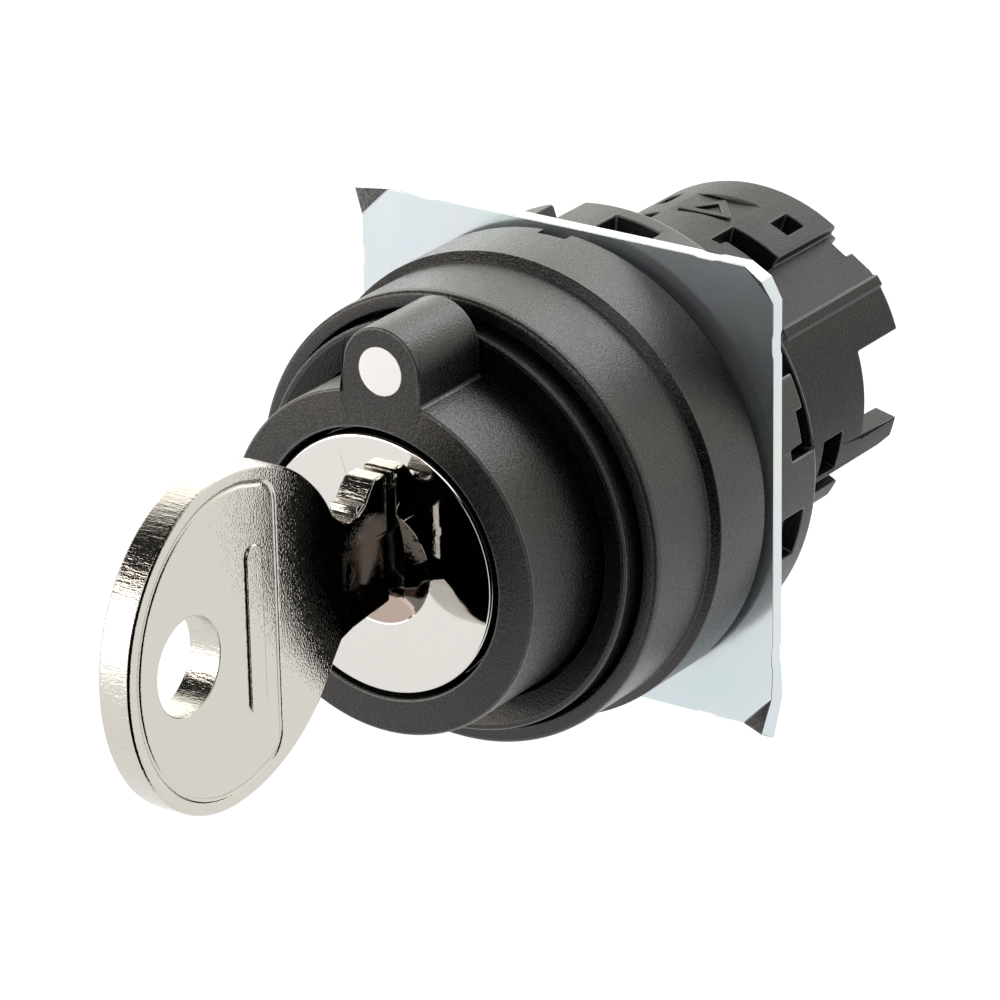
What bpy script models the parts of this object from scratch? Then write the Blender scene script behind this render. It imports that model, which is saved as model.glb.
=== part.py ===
"""Selector key switch: a 22 mm panel-mount key operator, built as separate closed pieces.

Frame: metres, +Z up.  The axis of rotation is the Y axis, the key side faces -Y and the origin
is on that axis in the plane where the front of the panel meets the gasket.  Sizes below are in
millimetres and are turned into metres by `MM`.  A clock angle runs from +Z (0, twelve o'clock)
towards +X (90), the way the front of the switch is read.
"""
import bpy
import bmesh
from math import cos, pi, radians, sin
from mathutils import Matrix

MM = 0.001                    # metres in a millimetre
GAP = 0.3                     # clearance between neighbouring pieces
MERGE = 0.000001              # merge distance in metres, far under the smallest edge
ROUND = 64                    # segments round a large turned piece
FINE = 36                     # segments round an inner turned piece
SMALL = 16                    # segments round a small pin, ball or wire ring

# Front of the switch, as axial positions (y) and radii
SEAT_Y = 0.0                  # panel front face, where the gasket presses
BEZEL_R = 14.9
BEZEL_REAR_Y = -0.6
BEZEL_STEP_Y = -5.46
BEZEL_FRONT_R = 14.33
BEZEL_FRONT_Y = -11.3
BEZEL_FACE_Y = -11.7          # flat annulus behind the guide ring's rim
BEZEL_BORE_R = 13.3
BEZEL_SHOULDER_Y = -7.0
BEZEL_NECK_R = 11.3
BEZEL_NOTCH_X = (-0.7, 1.3)   # sight notch in the rear edge, at the top
GUIDE_R = 13.0
GUIDE_BORE_R = 11.2
GUIDE_FRONT_Y = -13.0
GUIDE_DISH = 0.5              # the ring's face falls by this towards its bore
GUIDE_REAR_Y = -8.9
GASKET_R = 14.0
GASKET_THICK = 0.4

# Turning group
SLEEVE_R = 10.86
SLEEVE_BORE_R = 8.5
SLEEVE_FRONT_Y = -19.55
SLEEVE_LIP_Y = -19.78
SLEEVE_REAR_Y = -10.1
LUG_CLOCK = 2.2               # the pointer stands a little clockwise of the key
LUG_HALF_WIDTH = 2.7
LUG_CENTRE_R = 12.2
LUG_REAR_Y = -13.3
DOT_R = 1.5
DOT_THICK = 0.55
FACE_R = 8.14
FACE_FRONT_Y = -19.8
FACE_THICK = 1.3
FACE_DISH_R = 3.75            # hollow round the keyhole
FACE_DISH_DEPTH = 0.9
FACE_DISH_STEPS = 5
CORE_R = 6.8
CORE_FRONT_Y = -18.2
CORE_STEP_Y = 2.0
CORE_TAIL_R = 4.8
CORE_TAIL_Y = 8.2
DRIVE_SQUARE = 2.3            # half width of the square that drives the cam
DRIVE_END_Y = 10.8
CLIP_GROOVE_Y = (6.8, 7.6)
CLIP_GROOVE_R = 4.0

# Key
KEY_HALF_THICK = 1.1
BOW_Y = -35.8
BOW_Z = 1.2
BOW_OUTER_A = 9.5             # half length of the bow away from the neck
BOW_INNER_A = 11.35           # half length of the oval that runs into the neck
BOW_B = 10.2                  # half height of the bow
BOW_HOLE_Y = -39.7
BOW_HOLE_R = 2.95
BLADE_HALF_THICK = 0.95
BLADE_Z = (-1.6, 5.0)
BLADE_TIP_Y = -0.6
KEY_STOP_Y = -20.1            # collar of the key, just clear of the plug's face
BITTING_DEPTHS = (0.9, 1.4, 0.7, 1.2, 0.5)
MILL_FLOOR_X = 0.65           # floor of the groove milled in both sides of the blade
MILL_FLOOR_Z = (-0.55, 1.93)
MILL_EDGE_Z = (-1.3, 2.6)     # the same groove where its sloping walls meet the key's side
MILL_RUN_OUT_Y = (-25.0, -23.3)

# Wafers of the lock
WAFER_COUNT = 5
WAFER_FIRST_Y = -15.4
WAFER_PITCH = 2.6
WAFER_THICK = 0.9
WAFER_HALF_WIDTH = 3.0
WAFER_HALF_HEIGHT = 6.0
WAFER_WINDOW_Z = (-2.2, 5.45)

# Fixed inner pieces
HOUSING_R = 8.2
HOUSING_BORE_R = 7.1
HOUSING_FRONT_Y = -18.2
HOUSING_FLANGE_R = 9.2
HOUSING_FLANGE_Y = (0.8, 6.5)
HOUSING_TAIL_BORE_R = 5.1
DETENT_Y = 4.4
DETENT_BALL_R = 1.0
DETENT_BALL_Z = -5.5
DETENT_HOLE_R = 1.25
DETENT_CLOCKS = (135.0, 180.0, 225.0)
DETENT_TRACK_Y = (3.2, 5.6)   # shallow track that the ball runs along between its notches
DETENT_TRACK_R = 4.35
DETENT_CAP_R = 1.05
DETENT_CAP_Z = (-9.15, -8.45)
SPRING_R = 0.68               # radius of the coil, to the middle of its wire
SPRING_WIRE_R = 0.14
SPRING_TURNS = 3.0
SEAL_RADII = (10.6, 9.0)
CARRIER_R = 9.2
CARRIER_Y = (14.4, 15.9)
PUSHER_X = 6.3
PUSHER_HALF = (1.1, 1.3)      # half width along x and along z
PUSHER_REAR_Y = 16.4
PUSHER_SLOT_GAP = 0.3

# Cam: two ramps facing the rear that drive the pushers
CAM_Y = (8.6, 10.1)
CAM_R = 7.7
CAM_RAMP_R = (3.8, 7.55)
CAM_RAMP_MID_Y = 12.1
CAM_RAMP_RISE = 1.8           # axial rise for each radian of turn
CAM_RAMP_HALF_ANGLE = 52.3
CAM_SIDES = (("right", 90.0, 1.0), ("left", 270.0, -1.0))

# Case behind the panel
CASE_R = 11.0
CASE_BORE_R = 9.5
CASE_FRONT_BORE_R = 8.5
CASE_FLANGE_R = 12.9
CASE_FLANGE_Y = (-8.6, -7.3)
CASE_SHOULDER_Y = 0.5
CASE_REAR_Y = 22.4
CASE_SIDE_NOTCH_Y = 17.45
CASE_BOTTOM_REAR_Y = 16.6
CASE_FLAT = 10.2              # distance of the two upper flats from the axis
CASE_FLAT_CLOCK = 34.0
CASE_FLAT_FRONT_Y = 8.0
LEAF_CLOCKS = (12.0, 31.0)
LEAF_RADII = (8.75, 9.15)
LEAF_Y = (11.2, 14.2)

# Panel fixing
PLATE_HALF = 14.95
PLATE_FRONT_Y = 0.25
PLATE_THICK = 1.0
PLATE_HOLE_R = 11.35
PLATE_CORNER = 2.1            # leg of each corner that is folded forward
PLATE_FOLD = 27.0             # degrees
TONGUE_HALF = 1.0             # half width of the plate's tongue that sits in the case's keyslot
TONGUE_Z = 10.6
NUT_R = 14.5
NUT_FLOOR_R = 13.2
NUT_BORE_R = 11.35
NUT_Y = (1.55, 6.05)
NUT_BRIDGE_Y = 4.7            # notches open to the plate stop here
# Notches of half the nut as clock start, clock end, front y, rear y; the other half repeats them
NUT_NOTCHES = (
    (-18.0, -8.0, 1.0, 7.0),
    (4.0, 17.0, 1.0, NUT_BRIDGE_Y),
    (30.0, 43.0, 1.0, NUT_BRIDGE_Y),
    (56.5, 64.0, 1.0, 5.6),
    (74.0, 84.0, 4.8, 5.65),
    (98.0, 111.0, 1.0, NUT_BRIDGE_Y),
    (124.0, 137.0, 1.0, NUT_BRIDGE_Y),
)


# ---------------------------------------------------------------- helpers

def clear_scene():
    """Remove whatever objects the file starts with."""
    for old in list(bpy.data.objects):
        bpy.data.objects.remove(old, do_unlink=True)


def new_collection(name):
    """Add a collection to the scene."""
    group = bpy.data.collections.new(name)
    bpy.context.scene.collection.children.link(group)
    return group


def material(name, colour, roughness, metallic):
    """Return the plain Principled material of one piece."""
    mat = bpy.data.materials.new(name)
    mat.use_nodes = True
    shader = mat.node_tree.nodes["Principled BSDF"]
    shader.inputs["Base Color"].default_value = (*colour, 1.0)
    shader.inputs["Roughness"].default_value = roughness
    shader.inputs["Metallic"].default_value = metallic
    mat.diffuse_color = (*colour, 1.0)
    return mat


def clock_xz(clock, radius):
    """Return x and z of a point at a clock angle in degrees."""
    angle = radians(clock)
    return radius * sin(angle), radius * cos(angle)


def arc(centre, radius, start, end, steps):
    """Return points of an arc, counted in degrees from the first axis of the outline."""
    points = []
    for i in range(steps + 1):
        angle = radians(start + (end - start) * i / steps)
        points.append((centre[0] + radius * cos(angle), centre[1] + radius * sin(angle)))
    return points


def add_object(name, mesh, group):
    """Put a mesh, modelled in millimetres, into the scene in metres."""
    mesh.transform(Matrix.Scale(MM, 4))
    obj = bpy.data.objects.new(name, mesh)
    group.objects.link(obj)
    return obj


def settle(obj):
    """Bake an object's modifiers into its mesh, with the faces pointing out."""
    graph = bpy.context.evaluated_depsgraph_get()
    baked = bpy.data.meshes.new_from_object(obj.evaluated_get(graph))
    bm = bmesh.new()
    bm.from_mesh(baked)
    bmesh.ops.remove_doubles(bm, verts=bm.verts, dist=MERGE)
    bmesh.ops.recalc_face_normals(bm, faces=bm.faces)
    bm.to_mesh(baked)
    bm.free()
    obj.modifiers.clear()
    obj.data = baked
    return obj


def turned(name, group, profile, steps=ROUND):
    """Turn a profile of (y, radius) points about the Y axis."""
    closed = min(radius for _, radius in profile) > 0.0
    count = len(profile)
    edges = [(i, (i + 1) % count) for i in range(count if closed else count - 1)]
    mesh = bpy.data.meshes.new(name)
    mesh.from_pydata([(radius, y, 0.0) for y, radius in profile], edges, [])
    obj = add_object(name, mesh, group)
    screw = obj.modifiers.new("turn", 'SCREW')
    screw.axis = 'Y'
    screw.steps = steps
    screw.render_steps = steps
    screw.use_merge_vertices = True
    screw.merge_threshold = MERGE
    return settle(obj)


def tube(name, group, y_range, outer, inner, steps=ROUND):
    """Turn a plain ring of rectangular section."""
    low, high = y_range
    return turned(name, group, [(low, inner), (low, outer), (high, outer), (high, inner)], steps)


def prism(name, group, outline, axis, low, high):
    """Push a closed outline along an axis; its two coordinates are the other two axes in order."""
    def place(point, depth):
        if axis == 'X':
            return (depth, point[0], point[1])
        if axis == 'Y':
            return (point[0], depth, point[1])
        return (point[0], point[1], depth)

    bm = bmesh.new()
    face = bm.faces.new([bm.verts.new(place(point, low)) for point in outline])
    pushed = bmesh.ops.extrude_face_region(bm, geom=[face])
    moved = [item for item in pushed["geom"] if isinstance(item, bmesh.types.BMVert)]
    step = [b - a for a, b in zip(place((0.0, 0.0), low), place((0.0, 0.0), high))]
    bmesh.ops.translate(bm, verts=moved, vec=step)
    bmesh.ops.recalc_face_normals(bm, faces=bm.faces)
    mesh = bpy.data.meshes.new(name)
    bm.to_mesh(mesh)
    bm.free()
    return add_object(name, mesh, group)


def block(name, group, x_range, y_range, z_range):
    """Return a box given by its limits."""
    outline = [(x_range[0], z_range[0]), (x_range[1], z_range[0]),
               (x_range[1], z_range[1]), (x_range[0], z_range[1])]
    return prism(name, group, outline, 'Y', *y_range)


def sector(name, group, clocks, radii, y_range):
    """Return a ring sector between two clock angles and two radii."""
    steps = max(2, int((clocks[1] - clocks[0]) / 5.0))
    spread = [clocks[0] + (clocks[1] - clocks[0]) * i / steps for i in range(steps + 1)]
    outline = [clock_xz(clock, radii[1]) for clock in spread]
    outline += [clock_xz(clock, radii[0]) for clock in reversed(spread)]
    return prism(name, group, outline, 'Y', *y_range)


def rod(name, group, axis, radius, centre, low, high, steps=SMALL):
    """Return a cylinder along an axis through a centre given by the other two coordinates."""
    outline = arc(centre, radius, 0.0, 360.0, steps)[:-1]
    return prism(name, group, outline, axis, low, high)


def turn_clock(obj, clock):
    """Turn an object's mesh about the Y axis, clockwise as seen from the front."""
    obj.data.transform(Matrix.Rotation(radians(clock), 4, 'Y'))
    return obj


def combine(obj, other, operation):
    """Cut, join or trim a piece with another, which becomes a hidden guide."""
    boolean = obj.modifiers.new(operation.lower(), 'BOOLEAN')
    boolean.operation = operation
    boolean.object = other
    boolean.solver = 'EXACT'
    settle(obj)
    other.hide_render = True
    other.display_type = 'WIRE'
    return obj


def cut(obj, *cutters):
    """Take cutters out of a piece."""
    for cutter in cutters:
        combine(obj, cutter, 'DIFFERENCE')
    return obj


def join(obj, *others):
    """Fuse further shapes into a piece."""
    for other in others:
        combine(obj, other, 'UNION')
    return obj


def soften(obj, width, limit=40.0):
    """Round the sharp edges of a piece a little."""
    bevel = obj.modifiers.new("edges", 'BEVEL')
    bevel.width = width * MM
    bevel.segments = 1
    bevel.limit_method = 'ANGLE'
    bevel.angle_limit = radians(limit)
    return settle(obj)


def finish(obj, mat, smooth_angle=35.0):
    """Give a piece its material and smooth its round faces."""
    obj.data.materials.clear()
    obj.data.materials.append(mat)
    obj.data.shade_smooth()
    obj.data.set_sharp_from_angle(angle=radians(smooth_angle))
    return obj


# ---------------------------------------------------------------- front of the switch

def make_bezel(parts, cutters, mat):
    """Two-step front ring that bears on the panel."""
    profile = [
        (BEZEL_REAR_Y, BEZEL_NECK_R),
        (BEZEL_SHOULDER_Y, BEZEL_NECK_R),
        (BEZEL_SHOULDER_Y, BEZEL_BORE_R),
        (BEZEL_FACE_Y, BEZEL_BORE_R),
        (BEZEL_FRONT_Y - 0.15, BEZEL_FRONT_R - 0.25),
        (BEZEL_FRONT_Y, BEZEL_FRONT_R),
        (BEZEL_STEP_Y - 0.54, BEZEL_FRONT_R),
        (BEZEL_STEP_Y - 0.1, BEZEL_R - 0.18),
        (BEZEL_STEP_Y + 0.08, BEZEL_R),
        (BEZEL_REAR_Y - 0.1, BEZEL_R),
        (BEZEL_REAR_Y, BEZEL_R - 0.12),
    ]
    bezel = turned("bezel", parts, profile)
    notch = block("cut_bezel_notch", cutters, BEZEL_NOTCH_X, (-1.4, 1.0), (13.9, 16.0))
    return finish(cut(bezel, notch), mat)


def make_guide_ring(parts, mat):
    """Proud ring with a dished face that surrounds the turning sleeve."""
    edge = 0.12
    profile = [
        (GUIDE_REAR_Y, GUIDE_BORE_R),
        (GUIDE_FRONT_Y + GUIDE_DISH, GUIDE_BORE_R),
        (GUIDE_FRONT_Y, GUIDE_R - 2 * edge),
        (GUIDE_FRONT_Y, GUIDE_R - edge),
        (GUIDE_FRONT_Y + edge, GUIDE_R),
        (GUIDE_REAR_Y, GUIDE_R),
    ]
    return finish(turned("guide_ring", parts, profile), mat)


def make_gasket(parts, mat):
    """Flat rubber ring between the bezel and the panel."""
    ring = tube("panel_gasket", parts, (SEAT_Y - GASKET_THICK, SEAT_Y), GASKET_R, BEZEL_NECK_R)
    return finish(ring, mat)


def make_shaft_seal(parts, mat):
    """Wiper ring between the turning sleeve and the case."""
    y_range = (SLEEVE_REAR_Y + GAP, CASE_FLANGE_Y[0] - GAP)
    return finish(tube("shaft_seal", parts, y_range, *SEAL_RADII, FINE), mat)


# ---------------------------------------------------------------- turning group

def make_sleeve(parts, cutters, mat):
    """Sleeve round the lock with its pointer lug."""
    profile = [
        (SLEEVE_REAR_Y, SLEEVE_BORE_R),
        (SLEEVE_LIP_Y, SLEEVE_BORE_R),
        (SLEEVE_FRONT_Y - 0.03, SLEEVE_R - 0.2),
        (SLEEVE_FRONT_Y + 0.17, SLEEVE_R),
        (SLEEVE_REAR_Y, SLEEVE_R),
    ]
    sleeve = turned("rotor_sleeve", parts, profile)
    top = arc((0.0, LUG_CENTRE_R), LUG_HALF_WIDTH, 0.0, 180.0, 14)
    outline = top + [(-LUG_HALF_WIDTH - 0.1, 9.6), (LUG_HALF_WIDTH + 0.1, 9.6)]
    lug = prism("join_lug", cutters, outline, 'Y', SLEEVE_FRONT_Y - 0.05, LUG_REAR_Y)
    soften(lug, 0.15)
    bore = rod("cut_lug_bore", cutters, 'Y', SLEEVE_BORE_R, (0.0, 0.0), -21.0, -9.0, ROUND)
    pocket_depth = SLEEVE_FRONT_Y + DOT_THICK + GAP
    pocket = rod("cut_dot_pocket", cutters, 'Y', DOT_R + 0.15, (0.0, LUG_CENTRE_R),
                 -21.0, pocket_depth)
    turn_clock(lug, LUG_CLOCK)
    turn_clock(pocket, LUG_CLOCK)
    join(sleeve, lug)
    return finish(cut(sleeve, bore, pocket), mat)


def make_index_dot(parts, mat):
    """White dot let into the lug."""
    dot = rod("index_dot", parts, 'Y', DOT_R, (0.0, LUG_CENTRE_R),
              SLEEVE_FRONT_Y - 0.05, SLEEVE_FRONT_Y + DOT_THICK)
    return finish(turn_clock(dot, LUG_CLOCK), mat)


def make_plug_face(parts, cutters, mat):
    """Bright cap on the front of the plug, dished and slotted for the key."""
    edge = 0.2
    rear = FACE_FRONT_Y + FACE_THICK
    profile = []
    for i in range(FACE_DISH_STEPS + 1):
        share = i / FACE_DISH_STEPS
        profile.append((FACE_FRONT_Y + FACE_DISH_DEPTH * (1.0 - share * share),
                        FACE_DISH_R * share))
    profile += [
        (FACE_FRONT_Y, FACE_R - edge),
        (FACE_FRONT_Y + edge, FACE_R),
        (rear, FACE_R),
        (rear, 0.0),
    ]
    face = turned("plug_face", parts, profile)
    half = KEY_HALF_THICK + GAP
    slot = block("cut_face_slot", cutters, (-half, half), (-21.0, -18.0),
                 (BLADE_Z[0] - GAP, BLADE_Z[1] + GAP))
    return finish(cut(face, slot), mat)


def make_plug_core(parts, cutters, mat):
    """Plug of the lock with its keyway, wafer slots, detent notches and square tail."""
    groove_low, groove_high = CLIP_GROOVE_Y
    profile = [
        (CORE_FRONT_Y, 0.0),
        (CORE_FRONT_Y, CORE_R),
        (CORE_STEP_Y, CORE_R),
        (CORE_STEP_Y, CORE_TAIL_R),
        (DETENT_TRACK_Y[0], CORE_TAIL_R),
        (DETENT_TRACK_Y[0], DETENT_TRACK_R),
        (DETENT_TRACK_Y[1], DETENT_TRACK_R),
        (DETENT_TRACK_Y[1], CORE_TAIL_R),
        (groove_low, CORE_TAIL_R),
        (groove_low, CLIP_GROOVE_R),
        (groove_high, CLIP_GROOVE_R),
        (groove_high, CORE_TAIL_R),
        (CORE_TAIL_Y, CORE_TAIL_R),
        (CORE_TAIL_Y, 0.0),
    ]
    core = turned("plug_core", parts, profile, FINE)
    square = block("join_core_square", cutters, (-DRIVE_SQUARE, DRIVE_SQUARE),
                   (CORE_TAIL_Y - 0.5, DRIVE_END_Y), (-DRIVE_SQUARE, DRIVE_SQUARE))
    join(core, square)
    half = BLADE_HALF_THICK + GAP
    keyway = block("cut_keyway", cutters, (-half, half), (CORE_FRONT_Y - 1.0, BLADE_TIP_Y + 0.6),
                   (BLADE_Z[0] - GAP, BLADE_Z[1] + GAP))
    cut(core, keyway)
    for i in range(WAFER_COUNT):
        y = WAFER_FIRST_Y + i * WAFER_PITCH
        reach = WAFER_THICK / 2 + GAP
        half_width = WAFER_HALF_WIDTH + GAP
        slot = block("cut_wafer_slot_%d" % (i + 1), cutters, (-half_width, half_width),
                     (y - reach, y + reach), (-9.0, 9.0))
        cut(core, slot)
    for i, clock in enumerate(DETENT_CLOCKS):
        x, z = clock_xz(clock, -DETENT_BALL_Z)
        pocket = ball("cut_detent_notch_%d" % (i + 1), cutters, DETENT_BALL_R + GAP,
                      (x, DETENT_Y, z))
        cut(core, pocket)
    screw_hole = rod("cut_screw_hole", cutters, 'Y', 1.05, (0.0, 0.0), DRIVE_END_Y - 4.0,
                     DRIVE_END_Y + 1.0)
    return finish(cut(core, screw_hole), mat)


def ball(name, group, radius, centre):
    """Return a ball from the sphere primitive."""
    bm = bmesh.new()
    bmesh.ops.create_uvsphere(bm, u_segments=SMALL, v_segments=SMALL // 2, radius=radius)
    bmesh.ops.translate(bm, verts=bm.verts, vec=centre)
    mesh = bpy.data.meshes.new(name)
    bm.to_mesh(mesh)
    bm.free()
    return add_object(name, mesh, group)


def make_plug_clip(parts, mat):
    """Open spring clip that keeps the plug in its housing."""
    inner = CLIP_GROOVE_R + 0.25
    outer = 6.6
    mid = sum(CLIP_GROOVE_Y) / 2
    clip = sector("plug_clip", parts, (38.0, 322.0), (inner, outer), (mid - 0.2, mid + 0.2))
    return finish(clip, mat)


def make_cam(parts, cutters, mat):
    """Cam on the plug's tail with one rising ramp for each pusher."""
    outer = CAM_R
    cam = turned("drive_cam", parts, [
        (CAM_Y[0], 0.0), (CAM_Y[0], outer), (CAM_Y[1], outer),
        (CAM_Y[1], 4.2), (CAM_RAMP_MID_Y, 4.2), (CAM_RAMP_MID_Y, 0.0)], FINE)
    for side, clock, sign in CAM_SIDES:
        join(cam, ramp("join_ramp_" + side, cutters, clock, sign))
    reach = DRIVE_SQUARE + 0.2
    socket = block("cut_cam_socket", cutters, (-reach, reach), (CAM_Y[0] - 1.0, DRIVE_END_Y + GAP),
                   (-reach, reach))
    hole = rod("cut_cam_hole", cutters, 'Y', 1.4, (0.0, 0.0), CAM_Y[0], CAM_RAMP_MID_Y + 1.0)
    return finish(cut(cam, socket, hole), mat)


def ramp(name, group, clock, sign):
    """Return a ring sector whose rear face rises with the angle at a constant rate."""
    steps = 12
    low = CAM_Y[0] + 0.4
    bm = bmesh.new()
    sections = []
    for i in range(steps + 1):
        offset = CAM_RAMP_HALF_ANGLE * (1.0 - 2.0 * i / steps)
        rear = CAM_RAMP_MID_Y + CAM_RAMP_RISE * radians(offset) * sign
        corners = []
        for radius, y in ((CAM_RAMP_R[0], low), (CAM_RAMP_R[1], low),
                          (CAM_RAMP_R[1], rear), (CAM_RAMP_R[0], rear)):
            x, z = clock_xz(clock - offset, radius)
            corners.append(bm.verts.new((x, y, z)))
        sections.append(corners)
    for first, second in zip(sections, sections[1:]):
        for j in range(4):
            k = (j + 1) % 4
            bm.faces.new((first[j], first[k], second[k], second[j]))
    bm.faces.new(sections[0])
    bm.faces.new(sections[-1])
    bmesh.ops.recalc_face_normals(bm, faces=bm.faces)
    mesh = bpy.data.meshes.new(name)
    bm.to_mesh(mesh)
    bm.free()
    return add_object(name, mesh, group)


def make_cam_screw(parts, cutters, mat):
    """Cross-slotted screw that holds the cam on the plug."""
    head_y = CAM_RAMP_MID_Y + GAP
    screw = turned("cam_screw", parts, [
        (DRIVE_END_Y - 3.4, 0.0), (DRIVE_END_Y - 3.4, 0.75), (head_y, 0.75),
        (head_y, 2.0), (head_y + 0.8, 2.0), (head_y + 1.1, 1.5), (head_y + 1.1, 0.0)], SMALL)
    slot = block("cut_screw_slot", cutters, (-3.0, 3.0), (head_y + 0.6, head_y + 2.0),
                 (-0.25, 0.25))
    return finish(cut(screw, slot), mat)


# ---------------------------------------------------------------- key and wafers

def bow_outline():
    """Return the outline of the bow and the neck as far as the collar, in y and z."""
    points = []
    steps = 40
    start, end = 24.0, 331.0
    for i in range(steps + 1):
        angle = radians(start + (end - start) * i / steps)
        half_length = BOW_INNER_A if cos(angle) > 0.0 else BOW_OUTER_A
        points.append((BOW_Y + half_length * cos(angle), BOW_Z + BOW_B * sin(angle)))
    neck_low = [(-25.0, -2.7), (-23.9, -2.4), (KEY_STOP_Y, -2.0)]
    neck_high = [(KEY_STOP_Y, 6.1), (-21.35, 6.1), (-21.9, 5.6), (-22.4, 4.9), (-23.0, 4.5),
                 (-23.8, 4.37), (-24.4, 4.5)]
    return points, neck_low, neck_high


def blade_outline():
    """Return the blade's outline from the collar's lower corner round to its upper corner."""
    low, high = BLADE_Z
    points = [(KEY_STOP_Y, low)]
    for i, depth in enumerate(BITTING_DEPTHS):
        y = WAFER_FIRST_Y + i * WAFER_PITCH
        points += [(y - 1.0, low), (y - 0.35, low + depth), (y + 0.35, low + depth), (y + 1.0, low)]
    points += [(BLADE_TIP_Y - 1.8, low), (BLADE_TIP_Y, low + 1.9), (BLADE_TIP_Y, high - 1.9),
               (BLADE_TIP_Y - 1.8, high)]
    for i in reversed(range(WAFER_COUNT)):
        y = WAFER_FIRST_Y + i * WAFER_PITCH
        depth = 0.5 * BITTING_DEPTHS[-1 - i]
        points += [(y + 1.0, high), (y + 0.35, high - depth), (y - 0.35, high - depth),
                   (y - 1.0, high)]
    points.append((KEY_STOP_Y, high))
    return points


def mill_cutter(name, group, sign):
    """Groove with sloping walls along one side of the blade, running out at the neck."""
    outer = KEY_HALF_THICK + 0.5

    def wall_z(index, x):
        share = (x - MILL_FLOOR_X) / (KEY_HALF_THICK - MILL_FLOOR_X)
        return MILL_FLOOR_Z[index] + share * (MILL_EDGE_Z[index] - MILL_FLOOR_Z[index])

    stations = ((MILL_RUN_OUT_Y[0], KEY_HALF_THICK + 0.1), (MILL_RUN_OUT_Y[1], MILL_FLOOR_X),
                (BLADE_TIP_Y + 1.0, MILL_FLOOR_X))
    bm = bmesh.new()
    rings = []
    for y, floor in stations:
        section = [(floor, wall_z(0, floor)), (outer, wall_z(0, outer)),
                   (outer, wall_z(1, outer)), (floor, wall_z(1, floor))]
        rings.append([bm.verts.new((sign * x, y, z)) for x, z in section])
    for first, second in zip(rings, rings[1:]):
        for i in range(4):
            k = (i + 1) % 4
            bm.faces.new((first[i], first[k], second[k], second[i]))
    bm.faces.new(rings[0])
    bm.faces.new(rings[-1])
    bmesh.ops.recalc_face_normals(bm, faces=bm.faces)
    mesh = bpy.data.meshes.new(name)
    bm.to_mesh(mesh)
    bm.free()
    return add_object(name, mesh, group)


def make_key(parts, cutters, mat):
    """Flat key: oval bow with a hole, neck with its collar, bitted and grooved blade."""
    bow, neck_low, neck_high = bow_outline()
    key = prism("key", parts, bow + neck_low + neck_high, 'X', -KEY_HALF_THICK, KEY_HALF_THICK)
    soften(key, 0.25, 60.0)
    shank = [(KEY_STOP_Y - 3.0, BLADE_Z[1]), (KEY_STOP_Y - 3.0, BLADE_Z[0])]
    blade = prism("join_blade", cutters, shank + blade_outline(), 'X',
                  -BLADE_HALF_THICK, BLADE_HALF_THICK)
    join(key, blade)
    hole = rod("cut_bow_hole", cutters, 'X', BOW_HOLE_R, (BOW_HOLE_Y, BOW_Z), -3.0, 3.0, 28)
    grooves = [mill_cutter("cut_groove_right", cutters, 1.0),
               mill_cutter("cut_groove_left", cutters, -1.0)]
    return finish(cut(key, hole, *grooves), mat)


def make_wafer(parts, cutters, mat, index):
    """Thin brass plate of the lock that the blade passes through."""
    y = WAFER_FIRST_Y + index * WAFER_PITCH
    y_range = (y - WAFER_THICK / 2, y + WAFER_THICK / 2)
    name = "wafer_%d" % (index + 1)
    wafer = block(name, parts, (-WAFER_HALF_WIDTH, WAFER_HALF_WIDTH), y_range,
                  (-WAFER_HALF_HEIGHT, WAFER_HALF_HEIGHT))
    half = BLADE_HALF_THICK + GAP
    window = block("cut_window_%d" % (index + 1), cutters, (-half, half), (y - 2.0, y + 2.0),
                   WAFER_WINDOW_Z)
    return finish(cut(wafer, window), mat)


# ---------------------------------------------------------------- fixed inner pieces

def make_lock_housing(parts, cutters, mat):
    """Die-cast housing of the lock, grooved for the wafers and drilled for the detent."""
    flange_low, flange_high = HOUSING_FLANGE_Y
    profile = [
        (HOUSING_FRONT_Y, HOUSING_BORE_R),
        (HOUSING_FRONT_Y, HOUSING_R),
        (flange_low, HOUSING_R),
        (flange_low, HOUSING_FLANGE_R),
        (flange_high, HOUSING_FLANGE_R),
        (flange_high, HOUSING_TAIL_BORE_R),
        (CORE_STEP_Y + GAP, HOUSING_TAIL_BORE_R),
        (CORE_STEP_Y + GAP, HOUSING_BORE_R),
    ]
    housing = turned("lock_housing", parts, profile, FINE)
    for side, sign in (("top", 1.0), ("bottom", -1.0)):
        z_range = sorted((sign * 5.0, sign * 7.7))
        groove = block("cut_groove_" + side, cutters, (-3.4, 3.4), (-17.0, -3.0), z_range)
        cut(housing, groove)
    hole = rod("cut_detent_hole", cutters, 'Z', DETENT_HOLE_R, (0.0, DETENT_Y), -12.0, -3.0)
    return finish(cut(housing, hole), mat)


def make_detent(parts, mats):
    """Ball, spring and set screw of the click stop, below the plug's tail."""
    steel, wire, brass = mats
    centre = (0.0, DETENT_Y, DETENT_BALL_Z)
    finish(ball("detent_ball", parts, DETENT_BALL_R, centre), steel)
    cap = rod("detent_cap", parts, 'Z', DETENT_CAP_R, (0.0, DETENT_Y), *DETENT_CAP_Z)
    finish(cap, brass)
    low = DETENT_CAP_Z[1] + 0.1
    high = DETENT_BALL_Z - DETENT_BALL_R - 0.15
    finish(coil_spring("detent_spring", parts, (0.0, DETENT_Y), low, high), wire)


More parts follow.
